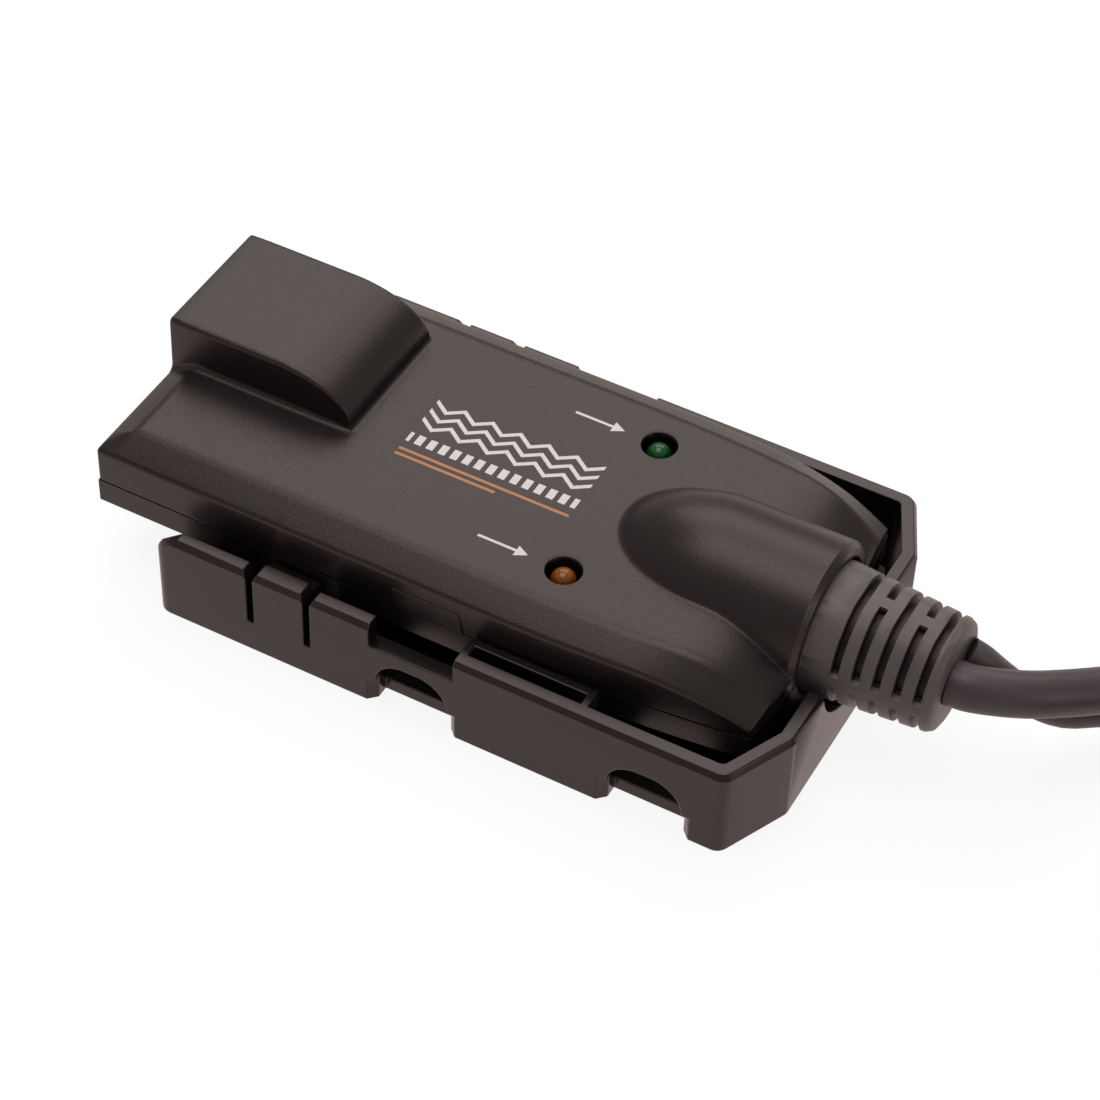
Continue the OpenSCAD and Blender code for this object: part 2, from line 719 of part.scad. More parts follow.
module chips() color(black_plastic) set_down() for (c = [0:1]) on_board(chip_place_shares[c]) difference() {
  union() {
    block([-chip_sizes[c] / 2, -chip_sizes[c] / 2, chip_leg], [chip_sizes[c] / 2, chip_sizes[c] / 2,
      chip_t]);
    for (a = [0:90:270], k = [-chip_legs / 2 : chip_legs / 2]) rotate([0, 0, a])
      block([chip_sizes[c] / 2 - chip_t, chip_leg_pitch * k - chip_leg / 2, 0],
        [chip_sizes[c] / 2 + chip_leg * 2, chip_leg_pitch * k + chip_leg / 2, chip_leg + hair]);
  }
  post(-chip_sizes[c] / 2 + chip_t, -chip_sizes[c] / 2 + chip_t, chip_t - chip_leg, chip_t + over,
    chip_t / 2);
}

module capacitors() color("silver") set_down() for (s = cap_place_shares) on_board(s) difference() {
  union() {
    cylinder(cap_h, cap_r, cap_r);
    block([-cap_r - cap_base, -cap_r - cap_base, 0], [cap_r + cap_base, cap_r + cap_base, cap_base]);
  }
  for (a = [0, 60, 120]) rotate([0, 0, a])
    block([-cap_r / 2, -cap_base / 4, cap_h - cap_base / 2], [cap_r / 2, cap_base / 4, cap_h + over]);
}

module crystal() color("silver") set_down() on_board(crystal_place_share) {
  linear_extrude(crystal_h) polygon(rounded([[-crystal_len / 2, -crystal_w / 2], [crystal_len / 2,
    -crystal_w / 2],
    [crystal_len / 2, crystal_w / 2], [-crystal_len / 2, crystal_w / 2]], crystal_w * 0.45, 6));
  block([-crystal_len / 2 - cap_base, -crystal_w / 2 - cap_base / 2, 0],
    [crystal_len / 2 + cap_base, crystal_w / 2 + cap_base / 2, cap_base]);
}

module network_socket() color(black_plastic) set_down() {
  mid = board_top + jack_sill;
  difference() {
    union() {
      along_x(jack_recess, jack_recess + jack_tall_len)
        polygon([[bump_y - jack_w / 2, board_top], [bump_y + jack_w / 2, board_top], [bump_y + jack_w / 2,
          jack_top - bump_edge],
          [bump_y + jack_w / 2 - bump_edge, jack_top], [bump_y - jack_w / 2 + bump_edge, jack_top],
          [bump_y - jack_w / 2, jack_top - bump_edge]]);
      block([jack_recess, bump_y - jack_w / 2, board_top],
        [jack_recess + jack_len, bump_y + jack_w / 2, board_top + jack_low_h]);
    }
    block([-over, bump_y - jack_hole_w / 2, mid], [jack_recess + jack_hole_len, bump_y + jack_hole_w / 2,
      mid + jack_hole_h]);
    block([-over, bump_y - latch_w, mid - latch_h], [jack_recess + jack_hole_len, bump_y + latch_w, mid +
      over]);
    block([-over, bump_y - latch_w / 2, mid - latch_h * 1.6], [jack_recess + jack_hole_len, bump_y +
      latch_w / 2, mid]);
  }
}

module socket_contacts() color(gold_colour) set_down() for (k = [-3.5 : 3.5]) {
  z = board_top + jack_sill + jack_hole_h;
  x = jack_recess + jack_hole_len;
  along_y(bump_y + contact_pitch * k - contact_w / 2, bump_y + contact_pitch * k + contact_w / 2)
    polygon([[x, z], [jack_recess + contact_set, z], [jack_recess + contact_set, z - contact_w],
      [x - contact_set * 2, z - contact_drop], [x - contact_set * 2, z - contact_drop + contact_w],
      [jack_recess + contact_set * 2, z - contact_w], [x, z - contact_w]]);
}

module lamp(side) {
  r = lamp_d / 2;
  dome_z = top_z - lamp_drop - r;
  foot_z = dome_z - lamp_body_h;
  translate([lamp_x, lamp_y * side, 0]) {
    rotate_extrude() polygon(concat([[0, foot_z], [r + lamp_rim, foot_z], [r + lamp_rim, foot_z +
      lamp_rim_h], [r, foot_z + lamp_rim_h]],
      [for (k = [0:lamp_steps]) let (t = 90 * k / lamp_steps) [r * cos(t), dome_z + r * sin(t)]]));
    for (s = [-1, 1]) block([-lamp_leg / 2, s * r / 2 - lamp_leg / 2, board_top], [lamp_leg / 2,
      s * r / 2 + lamp_leg / 2, foot_z + hair]);
  }
}
module green_lamp() color([0.20, 0.45, 0.25]) set_down() lamp(1);
module amber_lamp() color([0.70, 0.40, 0.12]) set_down() lamp(-1);

module board_plug(y1, y2, ways) difference() {
  x2 = board_x + board_len;
  pitch = (y2 - y1) / (ways + 1);
  union() {
    block([x2 - plug_len, y1, board_top], [x2, y2, board_top + plug_h]);
    block([x2 - plug_len - plug_key, y1 + plug_wall, board_top], [x2 - plug_len + hair, y2 - plug_wall,
      board_top + plug_h / 2]);
  }
  for (k = [1:ways]) block([x2 - plug_len + plug_wall, y1 + pitch * k - plug_slot / 2, board_top +
    plug_h - plug_wall],
    [x2 - plug_wall, y1 + pitch * k + plug_slot / 2, board_top + plug_h + over]);
}
module vga_board_plug() color("ivory") set_down() board_plug(vga_plug_y, plug_split_y - plug_gap, 8);
module usb_board_plug() color("ivory") set_down() board_plug(plug_split_y, usb_plug_y, 4);

module vga_inner_lead() color(lead_colour) set_down() vga_rod(board_x + board_len, object_len, 0);
module usb_inner_lead() color(lead_colour) set_down() usb_rod(board_x + board_len, object_len, 0);

module cable_clamp() color(black_plastic) set_down() difference() {
  y1 = vga_y - vga_d / 2 - clamp_wall;
  y2 = usb_y + usb_d / 2 + clamp_wall;
  union() {
    block([clamp_x - clamp_len / 2, clamp_places[0] - clamp_post_r, clamp_z],
      [clamp_x + clamp_len / 2, clamp_places[1] + clamp_post_r, clamp_z + clamp_t]);
    block([clamp_x - clamp_len / 2, y1, clamp_z], [clamp_x + clamp_len / 2, y2, vga_z + vga_d / 2 +
      clamp_wall]);
  }
  lead_rods(board_x + board_len, case_len, 0);
  block([0, vga_y - vga_d / 2, 0], [case_len, vga_y + vga_d / 2, vga_z]);
  block([0, usb_y - usb_d / 2, 0], [case_len, usb_y + usb_d / 2, usb_z]);
  for (y = clamp_places) post(clamp_x, y, clamp_z - over, clamp_z + clamp_t + over, clamp_screw_r + hair);
}

module clamp_screws() color(steel_colour) set_down() for (y = clamp_places) difference() {
  union() {
    post(clamp_x, y, clamp_z + clamp_t, clamp_z + clamp_t + screw_head_h, screw_head_r);
    post(clamp_x, y, clamp_z + clamp_t - clamp_screw_len, clamp_z + clamp_t + hair, clamp_screw_r);
  }
  for (a = [0, 90]) translate([clamp_x, y, 0]) rotate([0, 0, a])
    block([-cross_len / 2, -cross_w / 2, clamp_z + clamp_t + screw_head_h - cross_depth],
      [cross_len / 2, cross_w / 2, clamp_z + clamp_t + screw_head_h + over]);
}

// Radius of the boot at a distance from the case
function boot_at(s) = boot_r + (boot_end_r - boot_r) * s / boot_len;

module boot_ring(s, depth) {
  x = case_len + s;
  difference() {
    rod(x - slot_w / 2, x + slot_w / 2, 0, axis_z, boot_r + over);
    rod(x - slot_w, x + slot_w, 0, axis_z, boot_at(s) - depth);
  }
}

module boot_bars(x, angles) {
  for (a = angles) translate([x, 0, axis_z]) rotate([a, 0, 0])
    block([-slot_w, -boot_r * 2, -bridge_w / 2], [slot_w, boot_r * 2, bridge_w / 2]);
}

module strain_relief_boot() color(boot_colour) set_down() difference() {
  union() {
    rod(case_len - wall - flange_t, case_len - wall, 0, axis_z, boot_r + boot_gap + flange_step);
    rod(case_len - wall - hair, case_len + hair, 0, axis_z, boot_r);
    intersection() {
      spin([[0, case_len], [boot_r, case_len], [boot_at(boot_len - boot_edge), object_len - boot_edge],
        [boot_at(boot_len) - boot_edge * 0.3, object_len - boot_edge * 0.3],
          [boot_at(boot_len) - boot_edge, object_len],
        [0, object_len]]);
      loft([for (s = [-hair, boot_len + hair]) let (x = case_len + s, h = boot_at(s) * boot_flat_share)
        [[x, boot_r * 2, axis_z - h], [x, boot_r * 2, axis_z + h], [x, -boot_r * 2, axis_z + h], [x,
          -boot_r * 2, axis_z - h]]]);
    }
  }
  for (k = [0 : boot_slots - 1]) {
    s = slot_start + slot_pitch * k;
    difference() {
      boot_ring(s, slot_depth);
      boot_bars(case_len + s, k % 2 == 0 ? [0] : [0, quarter_turn]);
    }
  }
  lead_rods(case_len - wall * 3, object_len + over, hair);
}

// Holder: the open tray that the case drops into
function tray_corners(x0) = [[x0, -holder_w / 2], [tray_end - cut_x, -holder_w / 2], [tray_end,
  cut_y - holder_w / 2],
  [tray_end, holder_w / 2 - cut_y], [tray_end - cut_x, holder_w / 2], [x0, holder_w / 2]];
function tray_ring(x0, d, r, z) = at_height(rounded(inset(tray_corners(x0), d), r, corner_steps), z);

module arch(x) {
  w = arch_w / 2;
  for (s = [-1, 1]) scale([1, s, 1]) {
    along_y(holder_w / 2 - root_t, holder_w / 2 + over) {
      translate([x - w, -over]) square([arch_w, arch_h - arch_r + over]);
      translate([x - w + arch_r, -over]) square([arch_w - arch_r * 2, arch_h + over]);
      for (t = [-1, 1]) translate([x + t * (w - arch_r), arch_h - arch_r]) circle(arch_r);
    }
    for (t = [-1, 1]) translate([x + t * w, holder_w / 2, -over]) rotate([0, 0, 45])
      block([-arch_break, -arch_break, 0], [arch_break, arch_break, arch_h - arch_r + over]);
  }
}

module finger_slot(x) {
  inner = half_w + seat_gap;
  along_y(inner - over, holder_w / 2 + over)
    polygon([[x - finger_slot_w / 2, finger_slot_z], [x + finger_slot_w / 2, finger_slot_z],
      [x + finger_slot_w / 2, holder_h - finger_mouth_h], [x + finger_mouth_w / 2, holder_h + hair],
      [x - finger_mouth_w / 2, holder_h + hair], [x - finger_slot_w / 2, holder_h - finger_mouth_h]]);
}

module holder_side() {
  x1 = finger_mid - (finger_w + finger_slot_w) / 2;
  x2 = finger_mid + (finger_w + finger_slot_w) / 2;
  rim_y = holder_w / 2 - rim_t;
  bar_x = first_arch + notch_len / 2;
  grip_y = half_w + seat_gap;
  difference() {
    union() {
      along_x(x1, x2) polygon([[rim_y + rim_t / 2, holder_h], [rim_y - finger_head, holder_h],
        [rim_y - finger_head, holder_h - finger_mouth_h], [grip_y, holder_h - grip_top], [grip_y,
          holder_h - grip_top - grip_h],
        [rim_y + rim_t / 2, holder_h - grip_top - grip_h * 2]]);
      block([bar_x, grip_y, holder_h - bar_h], [bar_x + bar_len, rim_y + rim_t / 2, holder_h]);
    }
    block([bar_x + bar_arm, grip_y + bar_w, holder_h - bar_h - over], [bar_x + bar_len - bar_arm, rim_y,
      holder_h + over]);
  }
  for (g = rib_places) block([g[0], rib_gap / 2 - rib_t / 2, plate_h - hair], [g[1], rib_gap / 2 +
    rib_t / 2, case_z - seat_gap]);
}

module holder() color(holder_colour) set_down() difference() {
  union() {
    difference() {
      loft([tray_ring(overhang, 0, corner_r, 0), tray_ring(overhang, 0, corner_r, holder_h - rim_bevel_h),
        tray_ring(overhang, rim_bevel_w, corner_r, holder_h)]);
      loft([tray_ring(overhang - root_t * 2, root_t, corner_r / 2, plate_h),
        tray_ring(overhang - root_t * 2, rim_t, corner_r / 2, holder_h + hair)]);
    }
    difference() {
      both_sides() holder_side();
      difference() {
        block([overhang - over, -holder_w, holder_h - rim_bevel_h], [tray_end, holder_w, holder_h + over]);
        loft([tray_ring(overhang - over, 0, corner_r, holder_h - rim_bevel_h - hair),
          tray_ring(overhang - over, rim_bevel_w, corner_r, holder_h)]);
      }
    }
  }
  arch(first_arch);
  arch(second_arch);
  both_sides() {
    finger_slot(finger_mid - (finger_w + finger_slot_w) / 2);
    finger_slot(finger_mid + (finger_w + finger_slot_w) / 2);
    block([first_arch - notch_len / 2, half_w, notch_z], [first_arch + notch_len / 2, holder_w, holder_h +
      over]);
    along_y(half_w, holder_w)
      polygon([[overhang - over, holder_h - end_slant_z - over * end_slant_z / end_slant_x],
        [overhang + end_slant_x + over, holder_h + over * end_slant_z / end_slant_x],
        [overhang - over, holder_h + over * end_slant_z / end_slant_x]]);
  }
  rod(tray_end - root_t * 2, tray_end + over, 0, axis_z, boot_r + end_cut_gap);
}

// Leads: a smooth curve through chosen points, cut into short steps
function between(p, i, t) = let (a = p[max(i - 1, 0)], b = p[i], c = p[i + 1], d = p[min(i + 2,
  len(p) - 1)])
  (2 * b + (c - a) * t + (2 * a - 5 * b + 4 * c - d) * t * t + (3 * b - a - 3 * c + d) * t * t * t) / 2;
function curve(p, n) = concat([for (i = [0 : len(p) - 2]) for (k = [0 : n - 1]) between(p, i, k / n)],
  [p[len(p) - 1]]);

// One turn, clockwise from above, that climbs over its own start in the second half turn
function climb_share(a) = let (t = min(max((a - 180) / 120, 0), 1)) t * t * (3 - 2 * t);
function turn(r, z, rise, lead_in) = concat([[turn_x - lead_in, turn_y + r, z]],
  [for (k = [0:24]) let (a = 15 * k) [turn_x + r * sin(a), turn_y + r * cos(a), z + rise * climb_share(a)]],
  [[turn_x + lead_in, turn_y + r, z + rise]]);

function length_of(p, i = 0) = i >= len(p) - 1 ? 0 : norm(p[i + 1] - p[i]) + length_of(p, i + 1);

// Distance from point q to the segment from a to b
function to_segment(q, a, b) = let (t = min(max((q - a) * (b - a) / ((b - a) * (b - a)), 0),
  1)) norm(q - a - (b - a) * t);
// Least open space between rings of one turn that are far apart along it
function self_gap(p, r) = min([for (i = [0 : len(p) - 1], j = [0 :
  len(p) - 2]) if (abs(i - j) > 6 && abs(i - j - 1) > 6)
  to_segment(p[i], p[j], p[j + 1]) - 2 * r]);
function mutual_gap(p, q, r) = min([for (a = p, j = [0 : len(q) - 2]) to_segment(a, q[j], q[j + 1]) - r]);

vga_turn = turn(vga_turn_r, vga_low_z, vga_d + lead_gap, vga_d);
usb_turn = turn(usb_turn_r, usb_low_z, usb_d + lead_gap + turn_extra, vga_d);
vga_path = curve(concat([[object_len, vga_y, vga_z]], vga_points, [vga_turn[0]]), 1);
usb_path = curve(concat([[object_len, usb_y, usb_z]], usb_points, [usb_turn[0]]), 1);
vga_end = [turn_x + vga_tail_dx, vga_plug_mid, hood_h / 2];
usb_end = [turn_x + usb_tail_dx, usb_plug_mid, usb_hood_h / 2];
vga_tail_path = concat([vga_turn[len(vga_turn) - 1]], vga_tail_points, [vga_end]);
usb_tail_path = concat([usb_turn[len(usb_turn) - 1]], usb_tail_points, [usb_end]);

module vga_lead() color(lead_colour) set_down() loft(tube_rings(vga_path, vga_d / 2, 10));
module usb_lead() color(lead_colour) set_down() loft(tube_rings(usb_path, usb_d / 2, 8));
module vga_coil() color(lead_colour) set_down() loft(tube_rings(vga_turn, vga_d / 2, 6));
module usb_coil() color(lead_colour) set_down() loft(tube_rings(usb_turn, usb_d / 2, 6));
module vga_tail() color(lead_colour) set_down() loft(tube_rings(vga_tail_path, vga_d / 2, 10));
module usb_tail() color(lead_colour) set_down() loft(tube_rings(usb_tail_path, usb_d / 2, 8));

module coil_tie() color(black_plastic) set_down() {
  g = tie_gap + tie_t;
  y1 = turn_y - vga_turn_r - vga_d / 2 - g;
  y2 = turn_y - sqrt(pow(usb_turn_r, 2) - pow(tie_w / 2, 2)) + usb_d / 2 + g;
  z1 = vga_low_z - vga_d / 2 - g;
  outline = [[y1, z1], [y2, z1], [y2, usb_low_z + usb_d / 2 + g], [turn_y - vga_turn_r + vga_d / 3,
    vga_low_z + vga_d / 2 + g],
    [y1, vga_low_z + vga_d / 2 + g]];
  along_x(turn_x - tie_w / 2, turn_x + tie_w / 2) difference() {
    polygon(rounded(outline, usb_d / 3, 5));
    polygon(rounded(inset(outline, tie_t), usb_d / 3 - tie_t / 2, 5));
  }
}

// VGA plug, built along X from the end of its lead
hood_x = vga_end.x + relief_len;
ear_x = hood_x + hood_rear;
flange_x = ear_x + hood_front;

module plug_relief(end, x2, r1, r2, grooves) difference() {
  len_x = x2 - end.x;
  translate([0, end.y, end.z - axis_z]) spin([[0, end.x], [r1, end.x], [r2, x2], [0, x2]]);
  for (k = [1 : grooves]) translate([end.x + len_x * k / (grooves + 1), end.y, end.z]) rotate([0, 90,
    0]) difference() {
    cylinder(len_x / grooves / 3, r2 + over, r2 + over);
    translate([0, 0, -over]) cylinder(len_x + over, r1 * 0.8, r1 * 0.8);
  }
}

module at_thumbs() { for (s = [-1, 1]) translate([0, vga_end.y + s * screw_pitch / 2,
  vga_end.z]) children(); }

module vga_hood() color(black_plastic) set_down() difference() {
  c = hood_edge;
  union() {
    plug_relief(vga_end, hood_x + hair, vga_d / 2 + relief_wall, hood_rear_w / 3, 4);
    translate([0, vga_end.y, 0]) intersection() {
      linear_extrude(hood_h) polygon([[hood_x, -hood_rear_w / 3], [hood_x + c * 2, -hood_rear_w / 2],
        [ear_x, -hood_rear_w / 2],
        [ear_x, c - hood_w / 2], [ear_x + c, -hood_w / 2], [flange_x, -hood_w / 2],
        [flange_x, hood_w / 2], [ear_x + c, hood_w / 2], [ear_x, hood_w / 2 - c], [ear_x, hood_rear_w / 2],
        [hood_x + c * 2, hood_rear_w / 2], [hood_x, hood_rear_w / 3]]);
      along_x(hood_x, flange_x) polygon(inset([[-hood_w / 2 - c, 0], [hood_w / 2 + c, 0], [hood_w / 2 + c,
        hood_h], [-hood_w / 2 - c, hood_h]], 0));
      along_y(-hood_w, hood_w) polygon([[hood_x, c], [hood_x + c, 0], [flange_x, 0], [flange_x, hood_h],
        [hood_x + c, hood_h],
        [hood_x, hood_h - c]]);
    }
  }
  at_thumbs() rod(ear_x - over, flange_x + over, 0, 0, shank_r + thumb_gap);
  for (k = [1 : grip_count]) for (z = [0, hood_h])
    block([hood_x + grip_pitch * k, vga_end.y - hood_rear_w / 3, z - grip_depth],
      [hood_x + grip_pitch * k + grip_depth * 2, vga_end.y + hood_rear_w / 3, z + grip_depth]);
}

function d_outline(w, h, d) = let (lean = h * tan(shell_lean))
  inset([[-w / 2 + lean, -h / 2], [w / 2 - lean, -h / 2], [w / 2, h / 2], [-w / 2, h / 2]], d);
module d_shape(w, h, d, r) { polygon(rounded(d_outline(w, h, d), r, 5)); }
module at_vga_plug() { translate([0, vga_end.y, vga_end.z]) children(); }

module vga_shell() color(steel_colour) set_down() difference() {
  at_vga_plug() {
    along_x(flange_x, flange_x + flange_plate_t) polygon(rounded([[-hood_w / 2, -flange_half_h],
      [hood_w / 2, -flange_half_h],
      [hood_w / 2, flange_half_h], [-hood_w / 2, flange_half_h]], hood_edge, 5));
    along_x(flange_x, flange_x + flange_plate_t + shell_len) d_shape(shell_w, shell_h, 0, shell_round);
  }
  at_vga_plug() along_x(flange_x - over, flange_x + flange_plate_t + shell_len + over)
    d_shape(shell_w, shell_h, shell_t, shell_round - shell_t);
  at_thumbs() rod(flange_x - over, flange_x + flange_plate_t + over, 0, 0, shank_r + thumb_gap);
}

module vga_insulator() color("navy") set_down() at_vga_plug()
  along_x(flange_x, flange_x + flange_plate_t + insulator_out) d_shape(shell_w, shell_h, shell_t,
    shell_round - shell_t);

module vga_pins() color(gold_colour) set_down() at_vga_plug() {
  x = flange_x + flange_plate_t + insulator_out;
  for (row = [-1:1], k = [-2:2])
    rod(x, flange_x + flange_plate_t + shell_len - pin_back, (k + pin_shift_share * (row == 0 ? 1 :
      -1)) * pin_pitch, row * pin_row, pin_r);
}

module thumbscrew() {
  x2 = ear_x - thumb_end_gap;
  x1 = x2 - thumb_knob_len;
  difference() {
    union() {
      rod(x1, x2, 0, 0, thumb_knob_r);
      rod(x2 - hair, flange_x + flange_plate_t + thread_gap + hair, 0, 0, shank_r);
      rod(flange_x + flange_plate_t + thread_gap, flange_x + flange_plate_t + thumb_reach, 0, 0, thumb_r);
    }
    for (a = [0 : 30 : 330]) rotate([a, 0, 0]) translate([x1 + thumb_r, 0, thumb_knob_r])
      rotate([0, 90, 0]) cylinder(thumb_knob_len, knurl_r, knurl_r);
    block([x1 - over, -thumb_knob_r - over, -cross_w / 2], [x1 + cross_depth * 2, thumb_knob_r + over,
      cross_w / 2]);
  }
}
module thumbscrew_left() color(black_plastic) set_down() translate([0, vga_end.y + screw_pitch / 2,
  vga_end.z]) thumbscrew();
module thumbscrew_right() color(black_plastic) set_down() translate([0, vga_end.y - screw_pitch / 2,
  vga_end.z]) thumbscrew();

// USB plug, built along X from the end of its lead
usb_hood_x = usb_end.x + usb_relief_len;
usb_face = usb_hood_x + usb_hood_len;
module at_usb_plug() { translate([0, usb_end.y, usb_end.z]) children(); }

module usb_hood() color(black_plastic) set_down() difference() {
  union() {
    plug_relief(usb_end, usb_hood_x + hair, usb_d / 2 + relief_wall / 2, usb_hood_h * 0.42, 3);
    at_usb_plug() intersection() {
      along_x(usb_hood_x, usb_face) polygon(rounded([[-usb_hood_w / 2, -usb_hood_h / 2], [usb_hood_w / 2,
        -usb_hood_h / 2],
        [usb_hood_w / 2, usb_hood_h / 2], [-usb_hood_w / 2, usb_hood_h / 2]], hood_edge * 1.5, 5));
      translate([0, 0, -usb_hood_h]) linear_extrude(usb_hood_h * 2) polygon([[usb_hood_x, -usb_hood_w / 4],
        [usb_hood_x + usb_hood_w / 3, -usb_hood_w / 2], [usb_face - hood_edge / 2, -usb_hood_w / 2],
          [usb_face, hood_edge / 2 - usb_hood_w / 2],
        [usb_face, usb_hood_w / 2 - hood_edge / 2], [usb_face - hood_edge / 2, usb_hood_w / 2],
          [usb_hood_x + usb_hood_w / 3, usb_hood_w / 2],
        [usb_hood_x, usb_hood_w / 4]]);
    }
  }
  for (s = [-1, 1]) at_usb_plug() translate([usb_hood_x + usb_hood_len * 0.45, 0,
    s * usb_hood_h / 2 - grip_depth / 2])
    cylinder(grip_depth, usb_hood_w / 4, usb_hood_w / 4);
}

module usb_shell() color(steel_colour) set_down() at_usb_plug() difference() {
  block([usb_face, -usb_shell_w / 2, -usb_shell_h / 2], [usb_face + usb_shell_len, usb_shell_w / 2,
    usb_shell_h / 2]);
  block([usb_face - over, shell_t - usb_shell_w / 2, shell_t - usb_shell_h / 2],
    [usb_face + usb_shell_len + over, usb_shell_w / 2 - shell_t, usb_shell_h / 2 - shell_t]);
  for (s = [-1, 1]) block([usb_face + usb_shell_len * 0.43, s * usb_shell_w / 4 - usb_window / 2,
    -usb_shell_h],
    [usb_face + usb_shell_len * 0.43 + usb_window, s * usb_shell_w / 4 + usb_window / 2, usb_shell_h]);
}

module usb_tongue() color("white") set_down() at_usb_plug()
  block([usb_face, shell_t - usb_shell_w / 2, shell_t - usb_shell_h / 2],
    [usb_face + usb_shell_len - pin_back, usb_shell_w / 2 - shell_t, shell_t - usb_shell_h / 2 + tongue_t]);

module usb_contacts() color(gold_colour) set_down() at_usb_plug() for (k = usb_contact_shares) {
  z = shell_t - usb_shell_h / 2 + tongue_t;
  block([usb_face, usb_shell_w * k - contact_w, z], [usb_face + usb_shell_len * 0.8, usb_shell_w * k +
    contact_w, z + contact_w / 3]);
}

echo(vga_length = (object_len - board_x - board_len) + length_of(vga_path) + length_of(vga_turn) +
  length_of(vga_tail_path));
echo(usb_length = object_len - board_x - board_len + length_of(usb_path) + length_of(usb_turn) +
  length_of(usb_tail_path));
echo(vga_parts = [length_of(vga_path), length_of(vga_turn), length_of(vga_tail_path)]);
echo(usb_parts = [length_of(usb_path), length_of(usb_turn), length_of(usb_tail_path)]);
echo(vga_turn_gap = self_gap(vga_turn, vga_d / 2));
echo(usb_turn_gap = self_gap(usb_turn, usb_d / 2));

holder();
bottom_cover();
top_cover();
circuit_board();
chips();
capacitors();
crystal();
network_socket();
socket_contacts();
green_lamp();
amber_lamp();
vga_board_plug();
usb_board_plug();
cable_clamp();
clamp_screws();
cover_screws();
strain_relief_boot();
vga_inner_lead();
usb_inner_lead();
vga_lead();
vga_coil();
vga_tail();
usb_lead();
usb_coil();
usb_tail();
coil_tie();
vga_hood();
vga_shell();
vga_insulator();
vga_pins();
thumbscrew_left();
thumbscrew_right();
usb_hood();
usb_shell();
usb_tongue();
usb_contacts();
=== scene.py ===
import bmesh
import bpy
import numpy as np
from mathutils import Matrix, Vector


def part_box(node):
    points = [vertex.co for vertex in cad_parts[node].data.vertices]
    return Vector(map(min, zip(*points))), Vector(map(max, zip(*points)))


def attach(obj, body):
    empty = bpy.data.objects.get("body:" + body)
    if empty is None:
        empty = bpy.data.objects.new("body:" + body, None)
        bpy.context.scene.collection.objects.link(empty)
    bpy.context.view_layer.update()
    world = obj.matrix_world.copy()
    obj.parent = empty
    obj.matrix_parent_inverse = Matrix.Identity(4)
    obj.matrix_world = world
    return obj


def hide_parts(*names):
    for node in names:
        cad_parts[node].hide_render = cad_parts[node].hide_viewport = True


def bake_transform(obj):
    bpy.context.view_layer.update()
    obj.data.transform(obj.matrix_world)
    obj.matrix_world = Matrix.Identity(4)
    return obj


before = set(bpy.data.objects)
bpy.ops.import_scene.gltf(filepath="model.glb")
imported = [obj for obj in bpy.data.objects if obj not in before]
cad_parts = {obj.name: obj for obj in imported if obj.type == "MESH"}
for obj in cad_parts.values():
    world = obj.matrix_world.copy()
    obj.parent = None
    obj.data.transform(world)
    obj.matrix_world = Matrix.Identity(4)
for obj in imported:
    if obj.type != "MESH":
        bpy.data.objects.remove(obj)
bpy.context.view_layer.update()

# Camera: the adapter was photographed from above the near side of its socket end, with a long lens.
# Its place, its aim and its tilt (in degrees) were solved from the corners of the case and the holder.
camera_place = Vector((0.127938, -0.251018, 0.299241))
camera_aim = Vector((-0.000063, -0.001670, 0.010000))
camera_tilt = 2.2038
camera_lens = 105.418
toward = (camera_aim - camera_place).normalized()
across = toward.cross(Vector((0, 0, 1))).normalized()
above = across.cross(toward)
turn_by = np.radians(camera_tilt)
right = across * np.cos(turn_by) + above * np.sin(turn_by)
up = above * np.cos(turn_by) - across * np.sin(turn_by)
camera = bpy.data.objects.new("camera", bpy.data.cameras.new("camera"))
camera.data.lens = camera_lens
camera.data.sensor_width = 36
camera.data.clip_start = 0.02
camera.data.clip_end = 20
camera.matrix_world = Matrix((right, up, -toward)).transposed().to_4x4()
camera.matrix_world.translation = camera_place
bpy.context.scene.collection.objects.link(camera)
bpy.context.scene.camera = camera


class Wire:
    """One output of a material's node. Sums, products and comparisons of wires add Math nodes."""

    def __init__(self, finish, socket):
        self.finish, self.socket = finish, socket

    def math(self, operation, *others):
        values = dict(enumerate([self, *others]))
        return self.finish.node("ShaderNodeMath", {"operation": operation}, values)

    def __add__(self, other):
        return self.math("ADD", other)

    def __sub__(self, other):
        return self.math("SUBTRACT", other)

    def __rsub__(self, other):
        return self.finish.node("ShaderNodeMath", {"operation": "SUBTRACT"}, {0: other, 1: self})

    def __mul__(self, other):
        return self.math("MULTIPLY", other)

    def __truediv__(self, other):
        return self.math("DIVIDE", other)

    def __lt__(self, other):
        return self.math("LESS_THAN", other)

    def __gt__(self, other):
        return self.math("GREATER_THAN", other)

    def __abs__(self):
        return self.math("ABSOLUTE")

    def clip(self):
        return self.finish.node("ShaderNodeClamp", {}, {0: self})


